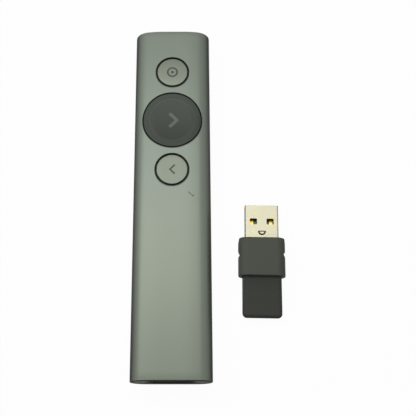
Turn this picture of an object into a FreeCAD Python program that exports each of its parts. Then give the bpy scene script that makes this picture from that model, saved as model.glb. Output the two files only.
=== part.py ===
import FreeCAD, Part
import math
import os
import Sketcher

# Wireless presentation clicker with its plug-in receiver, millimetres.
# +X to the right, +Y towards the pointing end, +Z up from the face that it rests on.
# The origin is the middle of the clicker's flat underside.

# Driving sizes. Each one is written once, here, and becomes a named cell of the sheet.
SIZES = {
    # aluminium sleeve
    "clicker_length": 131.3,
    "clicker_width": 28.1,
    "clicker_height": 12.1,
    "crown_flat_half": 4.0,
    "crown_radius": 28.0,
    "sleeve_wall": 0.9,
    "head_wall": 1.2,
    "sleeve_edge_round": 0.45,
    "hole_edge_break": 0.18,
    "insert_clearance": 0.1,
    # buttons
    "next_button_from_head": 37.05,
    "land_between_holes": 2.445,
    "small_hole_diameter": 12.35,
    "small_cap_gap": 0.6,
    "next_hole_side_land": 3.1,
    "next_cap_gap": 0.3,
    "cap_recess": 0.1,
    "cap_edge_round": 0.12,
    "cap_lip": 0.65,
    "cap_lip_gap": 0.12,
    "cap_lip_thickness": 0.5,
    "cap_skirt_wall": 1.1,
    "cap_plate_thickness": 0.9,
    "cap_stem_diameter": 3.2,
    "next_rim_width": 2.1,
    "next_dish_depth": 0.55,
    "button_travel": 0.4,
    # icons inlaid in the caps
    "icon_depth": 0.3,
    "target_ring_diameter": 4.15,
    "target_ring_stroke": 0.62,
    "target_dot_diameter": 1.1,
    "next_arrow_reach": 3.15,
    "next_arrow_stroke": 1.15,
    "next_arrow_shift": 0.57,
    "back_arrow_reach": 1.95,
    "back_arrow_stroke": 0.5,
    # switches under the caps
    "switch_side": 4.5,
    "switch_base_height": 1.6,
    "switch_floor": 0.5,
    "switch_well_diameter": 3.5,
    "switch_cover_thickness": 0.2,
    "switch_bore_clearance": 0.08,
    "dome_diameter": 3.3,
    "dome_pressed_rise": 0.15,
    "dome_thickness": 0.08,
    "plunger_diameter": 1.9,
    "plunger_flange_diameter": 2.9,
    "plunger_flange_thickness": 0.4,
    "plunger_height": 0.6,
    "plunger_seat_gap": 0.02,
    "terminal_width": 0.5,
    "terminal_reach": 0.8,
    "terminal_thickness": 0.2,
    # receiver
    "receiver_height": 6.6,
    "receiver_body_length": 13.9,
    "receiver_wall": 0.9,
    "receiver_edge_round": 0.3,
    "receiver_room_corner": 1.0,
    "lead_in_depth": 0.35,
    "lead_in_length": 1.9,
    "notch_depth": 0.85,
    "notch_half_width": 1.2,
    "notch_from_rear": 8.0,
    "plug_width": 12.0,
    "plug_height": 4.5,
    "plug_length": 12.2,
    "plug_root": 3.0,
    "plug_shoulder": 2.4,
    "plug_wall": 0.3,
    "plug_corner_round": 0.55,
    "plug_window_length": 2.25,
    "plug_window_width": 2.6,
    "plug_window_spacing": 6.0,
    "plug_window_from_tip": 5.0,
    "plug_window_corner": 0.4,
    "crimp_width": 2.7,
    "crimp_slot": 0.36,
    "crimp_from_tip": 9.9,
    "plug_board_thickness": 0.8,
    "plug_board_inset": 0.7,
    "plug_tray_clearance": 0.05,
    "contact_thickness": 0.1,
    "contact_width": 1.2,
    "contact_inner_spacing": 2.0,
    "contact_outer_spacing": 7.0,
    "contact_length": 7.2,
    "receiver_board_side_gap": 0.05,
    "receiver_board_end_gap": 1.5,
    "receiver_chip_side": 4.0,
    "receiver_chip_height": 0.85,
    "crystal_length": 2.5,
    "crystal_width": 2.0,
    "crystal_height": 0.6,
    "tab_width": 14.0,
    "tab_length": 14.65,
    "tab_thickness": 3.0,
    "tab_corner_round": 1.6,
    "tab_plate_thickness": 1.0,
    "tab_plate_clearance": 0.05,
    # place of the receiver beside the clicker
    "receiver_side_gap": 9.75,
    "receiver_shoulder_y": -14.8,
    # bay for the receiver in the tail
    "dock_clearance": 0.15,
    "dock_end_gap": 0.3,
    "bay_side_wall": 1.0,
    "bay_face_recess": 0.15,
    "bay_face_thickness": 2.2,
    "bay_end_wall": 1.5,
    "bay_mouth_chamfer": 0.3,
    "snap_lug_height": 0.35,
    "snap_lug_length": 1.1,
    "snap_lug_width": 3.0,
    "snap_lug_from_face": 0.6,
    "snap_pocket_clearance": 0.1,
    "latch_strip_thickness": 0.2,
    "latch_strip_width": 2.6,
    "latch_reach": 0.45,
    "latch_arm": 3.2,
    "latch_window_clearance": 0.4,
    "stake_diameter": 0.9,
    "stake_clearance": 0.04,
    "stake_head": 0.35,
    # charging port at the end of the bay
    "port_width": 8.94,
    "port_height": 3.2,
    "port_depth": 7.3,
    "port_wall": 0.25,
    "port_clearance": 0.08,
    "port_ear_width": 1.2,
    "port_ear_length": 2.4,
    "port_ear_thickness": 0.3,
    "tongue_width": 6.6,
    "tongue_thickness": 0.7,
    "tongue_setback": 0.9,
    "port_block_depth": 2.2,
    "port_contact_pitch": 0.5,
    "port_contact_width": 0.26,
    "port_contact_thickness": 0.05,
    # main board
    "board_side_inset": 2.85,
    "board_thickness": 0.8,
    "board_corner": 1.8,
    "board_head_gap": 1.4,
    "board_tail_gap": 0.2,
    # chassis
    "chassis_floor": 0.6,
    "rail_width": 1.6,
    "rib_thickness": 1.2,
    "battery_room_from_next": 23.85,
    "motor_room": 9.2,
    "peg_diameter": 1.5,
    "peg_length": 1.1,
    "peg_clearance": 0.05,
    "peg_side_inset": 3.05,
    "screw_side_inset": 0.75,
    "screw_diameter": 1.3,
    "screw_head_diameter": 2.3,
    "screw_head_height": 0.7,
    "screw_length": 3.4,
    "screw_tip_gap": 0.4,
    "screw_hole_clearance": 0.15,
    "screw_socket_width": 0.8,
    "screw_socket_depth": 0.3,
    "screw_end_inset": 5.0,
    # battery and motor
    "pad_thickness": 0.15,
    "battery_side_gap": 0.6,
    "battery_top_gap": 0.5,
    "battery_round": 0.8,
    "lead_diameter": 0.8,
    "lead_spacing": 1.6,
    "lead_room": 1.2,
    "socket_width": 4.4,
    "socket_length": 3.0,
    "socket_height": 1.6,
    "lead_reach": 4.6,
    "motor_diameter": 8.0,
    "motor_top_gap": 1.2,
    "motor_pad_margin": 0.3,
    "motor_lead_diameter": 0.4,
    "motor_lead_spacing": 1.0,
    # board parts
    "shield_width": 12.0,
    "shield_length": 9.0,
    "shield_height": 1.8,
    "shield_wall": 0.2,
    "shield_from_port": 4.6,
    "radio_chip_side": 5.0,
    "radio_chip_height": 0.85,
    "sensor_chip_side": 3.0,
    "sensor_chip_height": 0.9,
    "charger_chip_side": 2.4,
    "charger_chip_height": 0.75,
    "antenna_thickness": 0.15,
    "antenna_width": 1.2,
    "antenna_foot": 1.2,
    "antenna_slot_clearance": 0.1,
    "antenna_tail_gap": 1.0,
}

# The receiver was set down a little askew, plug end to the right, in degrees about +Z
RECEIVER_TURN = -1.1

# The receiver's crystal stands this far to the right, in sides of the chip
CRYSTAL_PLACE_SHARE = 0.8

# The tab's end is rounded by most of half its thickness, which leaves a narrow flat
TAB_END_ROUND_SHARE = 0.8

PORT_CONTACTS_PER_SIDE = 12

# How near two numbers are before they count as the same place
TOUCH = 1e-6

DOC = FreeCAD.newDocument("PresentationClicker")
SHEET = DOC.addObject("Spreadsheet::Sheet", "Sizes")
SUBPARTS = []


class Size:
    """A named size, or a sum of named sizes: its number, and its formula on the sheet."""

    def __init__(self, formula, value):
        self.formula = formula
        self.value = value

    def __add__(self, other):
        return combined(self, "+", other)

    def __radd__(self, other):
        return combined(other, "+", self)

    def __sub__(self, other):
        return combined(self, "-", other)

    def __rsub__(self, other):
        return combined(other, "-", self)

    def __mul__(self, other):
        return combined(self, "*", other)

    def __rmul__(self, other):
        return combined(other, "*", self)

    def __truediv__(self, other):
        return combined(self, "/", other)

    def __neg__(self):
        return combined(0, "-", self)


def as_size(item):
    if isinstance(item, Size):
        return item
    return Size(repr(item), item)


def combined(left, sign, right):
    left = as_size(left)
    right = as_size(right)
    values = {"+": left.value + right.value, "-": left.value - right.value, "*": left.value * right.value}
    if sign == "/":
        values["/"] = left.value / right.value
    return Size(f"({left.formula} {sign} {right.formula})", values[sign])


def root(item):
    """Square root of a size squared."""
    return Size(f"sqrt({item.formula})", math.sqrt(item.value))


def at_least_zero(item):
    return Size(f"max({item.formula}; 0)", max(item.value, 0))


def at_most(item, limit):
    return Size(f"min({item.formula}; {limit.formula})", min(item.value, limit.value))


def fill_sheet():
    for row, (name, number) in enumerate(SIZES.items(), start=1):
        SHEET.set(f"A{row}", name)
        SHEET.set(f"B{row}", str(number))
        SHEET.setAlias(f"B{row}", name)
    DOC.recompute()


def named(name):
    return Size(f"Sizes.{name}", SIZES[name])


class Sizes:
    """Every cell of the sheet as an attribute, so a formula reads as plain words."""

    def __getattr__(self, name):
        return named(name)


Z = Sizes()


# Helpers that make bound features

def bind(item, **formulas):
    """Bind properties of an object to formulas; a double underscore stands for a dot."""
    for name, size in formulas.items():
        item.setExpression(name.replace("__", "."), as_size(size).formula)
    return item


def place(item, x=0, y=0, z=0):
    return bind(item, Placement__Base__x=x, Placement__Base__y=y, Placement__Base__z=z)


def turn(item, axis, degrees):
    item.Placement = FreeCAD.Placement(FreeCAD.Vector(), FreeCAD.Rotation(FreeCAD.Vector(*axis), degrees))
    return item


def box(name, corner, size):
    """A box from its lowest corner and its three lengths."""
    item = DOC.addObject("Part::Box", name)
    bind(item, Length=size[0], Width=size[1], Height=size[2])
    return place(item, *corner)


def centred_box(name, centre, size):
    """A box whose middle in X and Y is given, and whose lowest Z is given."""
    corner = (centre[0] - size[0] / 2, centre[1] - size[1] / 2, centre[2])
    return box(name, corner, size)


def rod(name, diameter, length, centre, axis="z"):
    """A round rod that starts at its centre point and runs along +X, +Y or +Z."""
    item = DOC.addObject("Part::Cylinder", name)
    bind(item, Radius=diameter / 2, Height=length)
    if axis == "x":
        turn(item, (0, 1, 0), 90)
    if axis == "y":
        turn(item, (1, 0, 0), -90)
    return place(item, *centre)


def cut(name, base, tool):
    item = DOC.addObject("Part::Cut", name)
    item.Base = base
    item.Tool = tool
    return item


def fuse(name, *pieces):
    item = DOC.addObject("Part::MultiFuse", name)
    item.Shapes = list(pieces)
    return item


def common(name, *pieces):
    item = DOC.addObject("Part::MultiCommon", name)
    item.Shapes = list(pieces)
    return item


def group(name, *pieces):
    """Separate solids that share one node."""
    item = DOC.addObject("Part::Compound", name)
    item.Links = list(pieces)
    return item


def subpart(label, item):
    """Name a finished piece; its label is its node and its file."""
    item.Label = label
    SUBPARTS.append(item)
    return item


def new_body(name):
    return DOC.addObject("PartDesign::Body", name)


def sketch(body, name, plane, offset=0):
    """A sketch on one of the body's own origin planes, moved along the plane's normal."""
    item = body.newObject("Sketcher::SketchObject", name)
    support = [feature for feature in body.Origin.OriginFeatures if feature.Role == plane + "_Plane"][0]
    item.AttachmentSupport = [(support, "")]
    item.MapMode = "FlatFace"
    bind(item, AttachmentOffset__Base__z=offset)
    return item


def constrain(item, kind, geometry, size):
    index = item.addConstraint(Sketcher.Constraint(kind, *geometry, as_size(size).value))
    item.setExpression(f"Constraints[{index}]", as_size(size).formula)


def draw_circle(item, x, y, diameter):
    x, y, diameter = as_size(x), as_size(y), as_size(diameter)
    centre = FreeCAD.Vector(x.value, y.value, 0)
    circle = item.addGeometry(Part.Circle(centre, FreeCAD.Vector(0, 0, 1), diameter.value / 2), False)
    constrain(item, "Diameter", (circle,), diameter)
    constrain(item, "DistanceX", (-1, 1, circle, 3), x)
    constrain(item, "DistanceY", (-1, 1, circle, 3), y)


def draw_outline(item, points):
    """A closed outline. A point is (x, y), or (x, y, centre x, centre y, turn) where an arc leaves it,
    and turn is 1 for an arc that runs anticlockwise and -1 for clockwise."""
    points = [[as_size(value) for value in point] for point in points]
    edges = []
    for index, point in enumerate(points):
        following = points[(index + 1) % len(points)]
        edges.append(draw_edge(item, point, following))
    for index, edge in enumerate(edges):
        tail = edges[index - 1]
        item.addConstraint(Sketcher.Constraint("Coincident", tail[0], tail[2], edge[0], edge[1]))
    for edge, point in zip(edges, points):
        constrain(item, "DistanceX", (-1, 1, edge[0], edge[1]), point[0])
        constrain(item, "DistanceY", (-1, 1, edge[0], edge[1]), point[1])
    for edge, point, following in zip(edges, points, points[1:] + points[:1]):
        if len(point) > 2:
            pin_arc(item, edge[0], point, following)


def draw_edge(item, point, following):
    """One edge of an outline: its number, and which of its ends come first and last."""
    start = FreeCAD.Vector(point[0].value, point[1].value, 0)
    end = FreeCAD.Vector(following[0].value, following[1].value, 0)
    if len(point) == 2:
        return item.addGeometry(Part.LineSegment(start, end), False), 1, 2
    centre = FreeCAD.Vector(point[2].value, point[3].value, 0)
    circle = Part.Circle(centre, FreeCAD.Vector(0, 0, 1), (start - centre).Length)
    first = math.atan2(start.y - centre.y, start.x - centre.x)
    last = math.atan2(end.y - centre.y, end.x - centre.x)
    if point[4].value > 0:
        return item.addGeometry(Part.ArcOfCircle(circle, first, unwound(first, last)), False), 1, 2
    return item.addGeometry(Part.ArcOfCircle(circle, last, unwound(last, first)), False), 2, 1


def unwound(first, last):
    """The last angle, carried round until it lies past the first."""
    return last if last > first else last + 2 * math.pi


def pin_arc(item, edge, point, following):
    """Fix an arc's centre along the direction in which its chord leaves it free."""
    along_x = abs(following[1].value - point[1].value)
    along_y = abs(following[0].value - point[0].value)
    if along_x >= along_y:
        constrain(item, "DistanceX", (-1, 1, edge, 3), point[2])
    else:
        constrain(item, "DistanceY", (-1, 1, edge, 3), point[3])


def stadium(width, height, middle):
    """Outline of a flat bar with full-round sides, its middle at the given height."""
    flat = width / 2 - height / 2
    low = middle - height / 2
    high = middle + height / 2
    return [(-flat, low), (flat, low, flat, middle, 1), (flat, high), (-flat, high, -flat, middle, 1)]


def crown_joint(inset):
    """Where the shallow arc of the bar's top meets the tighter one, at an inset below the outer face."""
    span = Z.crown_radius - SHOULDER_RADIUS
    share = (Z.crown_radius - inset) / span
    x = Z.crown_flat_half + share * (SHOULDER_X - Z.crown_flat_half)
    z = CROWN_MIDDLE_Z + share * (MIDDLE_Z - CROWN_MIDDLE_Z)
    return x, z


def bar_outline(inset):
    """Outline of the bar at an inset below its outer face: flat below, full-round sides, crowned top."""
    side = Z.clicker_width / 2 - inset
    low = as_size(inset)
    high = Z.clicker_height - inset
    flat = Z.crown_flat_half
    joint_x, joint_z = crown_joint(inset)
    return [
        (-FLAT_HALF_WIDTH, low),
        (FLAT_HALF_WIDTH, low, FLAT_HALF_WIDTH, MIDDLE_Z, 1),
        (side, MIDDLE_Z, SHOULDER_X, MIDDLE_Z, 1),
        (joint_x, joint_z, flat, CROWN_MIDDLE_Z, 1),
        (flat, high),
        (-flat, high, -flat, CROWN_MIDDLE_Z, 1),
        (-joint_x, joint_z, -SHOULDER_X, MIDDLE_Z, 1),
        (-side, MIDDLE_Z, -FLAT_HALF_WIDTH, MIDDLE_Z, 1),
    ]


def rectangle(x_low, x_high, y_low, y_high):
    return [(x_low, y_low), (x_high, y_low), (x_high, y_high), (x_low, y_high)]


def rounded(x_low, x_high, y_low, y_high, corner):
    """Outline of a rectangle with round corners."""
    left, right = x_low + corner, x_high - corner
    low, high = y_low + corner, y_high - corner
    return [
        (left, y_low),
        (right, y_low, right, low, 1),
        (x_high, low),
        (x_high, high, right, high, 1),
        (right, y_high),
        (left, y_high, left, high, 1),
        (x_low, high),
        (x_low, low, left, low, 1),
    ]


def pad_y(body, name, outline, y_low, y_high):
    """Material between two stations along the clicker, from an outline seen along it."""
    profile = sketch(body, name + "_outline", "XZ", -as_size(y_high))
    draw_outline(profile, outline)
    feature = body.newObject("PartDesign::Pad", name)
    feature.Profile = profile
    return bind(feature, Length=as_size(y_high) - y_low)


def pocket_y(body, name, outline, y_low, y_high):
    profile = sketch(body, name + "_outline", "XZ", -as_size(y_low))
    draw_outline(profile, outline)
    feature = body.newObject("PartDesign::Pocket", name)
    feature.Profile = profile
    return bind(feature, Length=as_size(y_high) - y_low)


def pad_z(body, name, outlines, z_low, z_high):
    """Material between two heights, from outlines or circles seen from above."""
    profile = sketch(body, name + "_outline", "XY", z_low)
    draw_all(profile, outlines)
    feature = body.newObject("PartDesign::Pad", name)
    feature.Profile = profile
    return bind(feature, Length=as_size(z_high) - z_low)


def pocket_z(body, name, outlines, z_low, z_high):
    profile = sketch(body, name + "_outline", "XY", z_high)
    draw_all(profile, outlines)
    feature = body.newObject("PartDesign::Pocket", name)
    feature.Profile = profile
    return bind(feature, Length=as_size(z_high) - z_low)


def pad_x(body, name, outlines, width):
    """Material that spans a width across the middle plane, from outlines seen from the side."""
    profile = sketch(body, name + "_outline", "YZ")
    draw_all(profile, outlines)
    feature = body.newObject("PartDesign::Pad", name)
    feature.Profile = profile
    feature.Midplane = True
    return bind(feature, Length=width)


def pocket_x(body, name, outlines, width):
    profile = sketch(body, name + "_outline", "YZ")
    draw_all(profile, outlines)
    feature = body.newObject("PartDesign::Pocket", name)
    feature.Profile = profile
    feature.Midplane = True
    return bind(feature, Length=width)


def draw_all(profile, outlines):
    """Draw outlines; one with three entries that are not points is a circle (x, y, diameter)."""
    for outline in outlines:
        if isinstance(outline[0], (tuple, list)):
            draw_outline(profile, outline)
        else:
            draw_circle(profile, *outline)


def dress(body, kind, name, feature, edges, **sizes):
    """A PartDesign fillet or chamfer on the edges that a test picks out of a feature."""
    DOC.recompute()
    picked = [f"Edge{index}" for index, edge in enumerate(feature.Shape.Edges, start=1) if edges(edge)]
    if not picked:
        raise RuntimeError(f"{name} finds no edge")
    item = body.newObject(kind, name)
    item.Base = (feature, picked)
    return bind(item, **sizes)


def lies(edge, axis, size):
    """Whether an edge lies in the plane where one coordinate has the given value."""
    bounds = edge.BoundBox
    spread = {
        "x": (bounds.XMin, bounds.XMax),
        "y": (bounds.YMin, bounds.YMax),
        "z": (bounds.ZMin, bounds.ZMax),
    }
    return all(abs(end - as_size(size).value) < TOUCH for end in spread[axis])


fill_sheet()

# Stations and heights that several pieces share
TAIL_Y = -Z.clicker_length / 2
HEAD_Y = Z.clicker_length / 2
MIDDLE_Z = Z.clicker_height / 2
INNER_WIDTH = Z.clicker_width - 2 * Z.sleeve_wall
INNER_HEAD_Y = HEAD_Y - Z.head_wall
FLAT_HALF_WIDTH = Z.clicker_width / 2 - Z.clicker_height / 2
INSERT_WIDTH = INNER_WIDTH - 2 * Z.insert_clearance
INSERT_INSET = Z.sleeve_wall + Z.insert_clearance
INSERT_FLOOR_Z = INSERT_INSET

# The bar's gently crowned top: a flat middle, a shallow arc on each side of it, and a tighter arc that
# meets the shallow one without a corner and ends upright at half height
CROWN_MIDDLE_Z = Z.clicker_height - Z.crown_radius
CROWN_REACH = Z.clicker_width / 2 - Z.crown_flat_half
CROWN_DEPTH = Z.crown_radius - Z.clicker_height / 2
SHOULDER_RADIUS = (
    (Z.crown_radius * Z.crown_radius - CROWN_REACH * CROWN_REACH - CROWN_DEPTH * CROWN_DEPTH)
    / (2 * (Z.crown_radius - CROWN_REACH))
)
SHOULDER_X = Z.clicker_width / 2 - SHOULDER_RADIUS

BAY_FACE_Y = TAIL_Y + Z.bay_face_recess
RECEIVER_WIDTH = Z.plug_width + 2 * Z.plug_shoulder
NOTCH_Y = Z.notch_from_rear - Z.receiver_body_length
BAY_WIDTH = RECEIVER_WIDTH + 2 * Z.dock_clearance
BAY_HEIGHT = Z.receiver_height + 2 * Z.dock_clearance
BAY_DEPTH = Z.receiver_body_length + Z.plug_length + Z.dock_end_gap
BAY_BACK_Y = BAY_FACE_Y + BAY_DEPTH
BAY_END_Y = BAY_BACK_Y + Z.bay_end_wall
BAY_SIDE_X = BAY_WIDTH / 2 + Z.bay_side_wall
LATCH_Y = BAY_FACE_Y + Z.notch_from_rear

# The antenna strip lies on the bay's side wall above the latch strip
ANTENNA_LOW_Z = MIDDLE_Z + Z.latch_strip_width / 2 + Z.latch_window_clearance + Z.antenna_slot_clearance

HOLE_DIAMETER = {
    "highlight": Z.small_hole_diameter,
    "next": Z.clicker_width - 2 * Z.next_hole_side_land,
    "back": Z.small_hole_diameter,
}
BUTTON_PITCH = (HOLE_DIAMETER["next"] + Z.small_hole_diameter) / 2 + Z.land_between_holes
BUTTON_Y = {
    "highlight": HEAD_Y - Z.next_button_from_head + BUTTON_PITCH,
    "next": HEAD_Y - Z.next_button_from_head,
    "back": HEAD_Y - Z.next_button_from_head - BUTTON_PITCH,
}
CAP_GAP = {"highlight": Z.small_cap_gap, "next": Z.next_cap_gap, "back": Z.small_cap_gap}

BOARD_WIDTH = Z.clicker_width - 2 * Z.board_side_inset
BOARD_LOW_Z = MIDDLE_Z - Z.board_thickness / 2
BOARD_TOP_Z = MIDDLE_Z + Z.board_thickness / 2
BOARD_TAIL_Y = BAY_END_Y + Z.board_tail_gap
BOARD_HEAD_Y = INNER_HEAD_Y - Z.board_head_gap
PORT_BACK_Y = BAY_BACK_Y + Z.port_depth

PEG_X = Z.clicker_width / 2 - Z.peg_side_inset
PEG_Z = (INSERT_FLOOR_Z + BOARD_LOW_Z) / 2
CHASSIS_FLOOR_TOP_Z = INSERT_FLOOR_Z + Z.chassis_floor
CHASSIS_HEAD_Y = INNER_HEAD_Y - Z.insert_clearance
BATTERY_ROOM_TAIL_Y = PORT_BACK_Y + Z.lead_room
BATTERY_ROOM_HEAD_Y = BUTTON_Y["next"] - Z.battery_room_from_next
MOTOR_ROOM_HEAD_Y = CHASSIS_HEAD_Y - Z.rib_thickness
MOTOR_ROOM_TAIL_Y = MOTOR_ROOM_HEAD_Y - Z.motor_room
PAD_TOP_Z = CHASSIS_FLOOR_TOP_Z + Z.pad_thickness

CAP_TOP_Z = Z.clicker_height - Z.cap_recess
SWITCH_TOP_Z = BOARD_TOP_Z + Z.switch_base_height + Z.switch_cover_thickness
PLUNGER_TOP_Z = SWITCH_TOP_Z + Z.plunger_height
PLUNGER_BORE = Z.plunger_diameter + 2 * Z.switch_bore_clearance
DOME_RISE = Z.dome_pressed_rise + Z.button_travel
RECEIVER_AXIS_Z = Z.receiver_height / 2
RECEIVER_BOARD_END_Y = -(Z.receiver_body_length - Z.tab_plate_thickness - Z.receiver_board_end_gap)


def snap_lug_outline(clearance):
    """Side view of a snap lug, or with a clearance of the pocket that takes it."""
    low_y = BAY_FACE_Y + Z.snap_lug_from_face
    high_y = low_y + Z.snap_lug_length
    half = Z.snap_lug_width / 2 + clearance
    return rectangle(low_y - clearance, high_y + clearance, MIDDLE_Z - half, MIDDLE_Z + half)


# Aluminium sleeve

def make_sleeve():
    """One drawn sleeve, closed at the head and open at the tail, with three button holes."""
    body = new_body("housing_sleeve")
    outside = pad_y(body, "sleeve_bar", bar_outline(0), TAIL_Y, HEAD_Y)
    dress(
        body, "PartDesign::Fillet", "sleeve_end_rounds", outside,
        lambda edge: lies(edge, "y", HEAD_Y) or lies(edge, "y", TAIL_Y),
        Radius=Z.sleeve_edge_round,
    )
    pocket_y(body, "sleeve_bore", bar_outline(Z.sleeve_wall), TAIL_Y, INNER_HEAD_Y)
    pocket_x(
        body, "snap_pockets", [snap_lug_outline(Z.snap_pocket_clearance)],
        INSERT_WIDTH + 2 * (Z.snap_lug_height + Z.snap_pocket_clearance),
    )
    holes = pocket_z(
        body, "button_holes",
        [(0, BUTTON_Y[name], HOLE_DIAMETER[name]) for name in BUTTON_Y],
        MIDDLE_Z, Z.clicker_height,
    )
    dress(
        body, "PartDesign::Chamfer", "button_hole_edges", holes, is_hole_rim,
        Size=Z.hole_edge_break,
    )
    return subpart("housing_sleeve", body)


def is_hole_rim(edge):
    """Whether an edge of the sleeve runs round a button hole in its outer face."""
    middle = edge.CenterOfMass
    for name, centre_y in BUTTON_Y.items():
        radius = HOLE_DIAMETER[name].value / 2
        ends = [vertex.Point for vertex in edge.Vertexes]
        spans = [math.hypot(point.x, point.y - centre_y.value) for point in ends]
        if all(abs(span - radius) < TOUCH for span in spans):
            return surface_z(ends[0].x) - ends[0].z < TOUCH and middle.z > MIDDLE_Z.value
    return False


def surface_z(x, inset=0):
    """Height of a face that lies an inset below the sleeve's outer face, at a distance from its middle."""
    return crown_z(as_size(abs(x)), as_size(inset)).value


# Button caps

def crown_z(distance, inset):
    """Height of the bar's top at a distance from its middle plane, at an inset below its outer face."""
    if distance.value > crown_joint(inset)[0].value:
        radius = SHOULDER_RADIUS - inset
        beyond = distance - SHOULDER_X
        return MIDDLE_Z + root(radius * radius - beyond * beyond)
    radius = Z.crown_radius - inset
    beyond = at_least_zero(distance - Z.crown_flat_half)
    return CROWN_MIDDLE_Z + root(radius * radius - beyond * beyond)


def round_plug(name, inset, centre_y, diameter, low_z):
    """A round plug cut upright from a full-round bar that lies an inset below the sleeve's outer face."""
    body = new_body(name)
    pad_y(body, name + "_bar", bar_outline(inset), centre_y - diameter, centre_y + diameter)
    around = rectangle(-Z.clicker_width, Z.clicker_width, centre_y - 2 * diameter, centre_y + 2 * diameter)
    pocket_z(body, name + "_surround", [around, (0, centre_y, diameter)], 0, Z.clicker_height)
    pocket_z(body, name + "_underside", [around], 0, low_z)
    return body


def make_cap(name, dish=False):
    """A cap whose top follows the sleeve, held in by a lip that lies under the sleeve's wall."""
    centre_y = BUTTON_Y[name]
    cap_diameter = HOLE_DIAMETER[name] - 2 * CAP_GAP[name]
    lip_diameter = HOLE_DIAMETER[name] + 2 * Z.cap_lip
    skirt_z = crown_z(lip_diameter / 2, Z.sleeve_wall) - Z.cap_lip_gap - Z.cap_lip_thickness
    crown = round_plug(name + "_crown", Z.cap_recess, centre_y, cap_diameter, skirt_z)
    dress(
        crown, "PartDesign::Fillet", name + "_crown_round", crown.Tip,
        lambda edge: is_crown_rim(edge, centre_y.value, cap_diameter.value / 2),
        Radius=Z.cap_edge_round,
    )
    lip = round_plug(name + "_lip", Z.sleeve_wall + Z.cap_lip_gap, centre_y, lip_diameter, skirt_z)
    shell = fuse(name + "_shell", crown, lip)
    plate_low_z = CAP_TOP_Z - Z.cap_plate_thickness
    if dish:
        plate_low_z = plate_low_z - Z.next_dish_depth
    hollow = rod(
        name + "_hollow", cap_diameter - 2 * Z.cap_skirt_wall, plate_low_z - skirt_z, (0, centre_y, skirt_z),
    )
    hollowed = cut(name + "_hollowed", shell, hollow)
    stem = rod(
        name + "_stem", Z.cap_stem_diameter, plate_low_z - PLUNGER_TOP_Z, (0, centre_y, PLUNGER_TOP_Z),
    )
    blank = fuse(name + "_blank", hollowed, stem)
    if dish:
        blank = cut(name + "_dished", blank, make_dish(name, centre_y))
    return blank


def is_crown_rim(edge, centre_y, radius):
    """Whether an edge runs round the top of a cap."""
    points = [vertex.Point for vertex in edge.Vertexes]
    on_circle = all(abs(math.hypot(point.x, point.y - centre_y) - radius) < TOUCH for point in points)
    heights = [surface_z(point.x, Z.cap_recess.value) for point in points]
    return on_circle and all(abs(point.z - height) < TOUCH for point, height in zip(points, heights))


def make_dish(name, centre_y):
    """The ball that presses the shallow dish into the top of the cap."""
    half = HOLE_DIAMETER[name] / 2 - CAP_GAP[name] - Z.next_rim_width
    depth = Z.next_dish_depth
    radius = (half * half + depth * depth) / (2 * depth)
    ball = DOC.addObject("Part::Sphere", name + "_dish_ball")
    bind(ball, Radius=radius)
    return place(ball, 0, centre_y, CAP_TOP_Z - depth + radius)


# Icons in the caps

def make_arrow(name, reach, stroke, centre_x, centre_y, pointing, z_low, z_high):
    """A square-cut arrowhead whose two arms lie at 45 degrees; pointing is 1 for +X, -1 for -X."""
    slant = stroke / root(as_size(2))
    tip = centre_x + pointing * (reach + slant) / 2
    body = new_body(name)
    outline = [
        (tip, centre_y),
        (tip - pointing * reach, centre_y + reach),
        (tip - pointing * (reach + slant), centre_y + reach - slant),
        (tip - pointing * 2 * slant, centre_y),
        (tip - pointing * (reach + slant), centre_y - reach + slant),
        (tip - pointing * reach, centre_y - reach),
    ]
    pad_z(body, name + "_pad", [outline], z_low, z_high)
    return body


def make_target(name, centre_y, z_low, z_high):
    """A ring with a dot in its middle."""
    tall = z_high - z_low
    outer = rod(name + "_outer", Z.target_ring_diameter, tall, (0, centre_y, z_low))
    inner_diameter = Z.target_ring_diameter - 2 * Z.target_ring_stroke
    inner = rod(name + "_inner", inner_diameter, tall, (0, centre_y, z_low))
    ring = cut(name + "_ring", outer, inner)
    dot = rod(name + "_dot", Z.target_dot_diameter, tall, (0, centre_y, z_low))
    return group(name + "_mark", ring, dot)


def inlay(name, blank, mark):
    """Cut a mark into a cap, and fill the cut with an icon of its own, flush with the cap."""
    subpart(name + "_cap", cut(name + "_cap", blank, mark))
    subpart(name + "_icon", common(name + "_icon", blank, mark))


def make_buttons():
    top = Z.clicker_height
    target = make_target("highlight_target", BUTTON_Y["highlight"], CAP_TOP_Z - Z.icon_depth, top)
    inlay("highlight", make_cap("highlight"), target)
    arrow = make_arrow(
        "next_arrow", Z.next_arrow_reach, Z.next_arrow_stroke, Z.next_arrow_shift, BUTTON_Y["next"], 1,
        CAP_TOP_Z - Z.next_dish_depth - Z.icon_depth, top,
    )
    inlay("next", make_cap("next", dish=True), arrow)
    arrow = make_arrow(
        "back_arrow", Z.back_arrow_reach, Z.back_arrow_stroke, 0, BUTTON_Y["back"], -1,
        CAP_TOP_Z - Z.icon_depth, top,
    )
    inlay("back", make_cap("back"), arrow)


# Switches on the board

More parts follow.
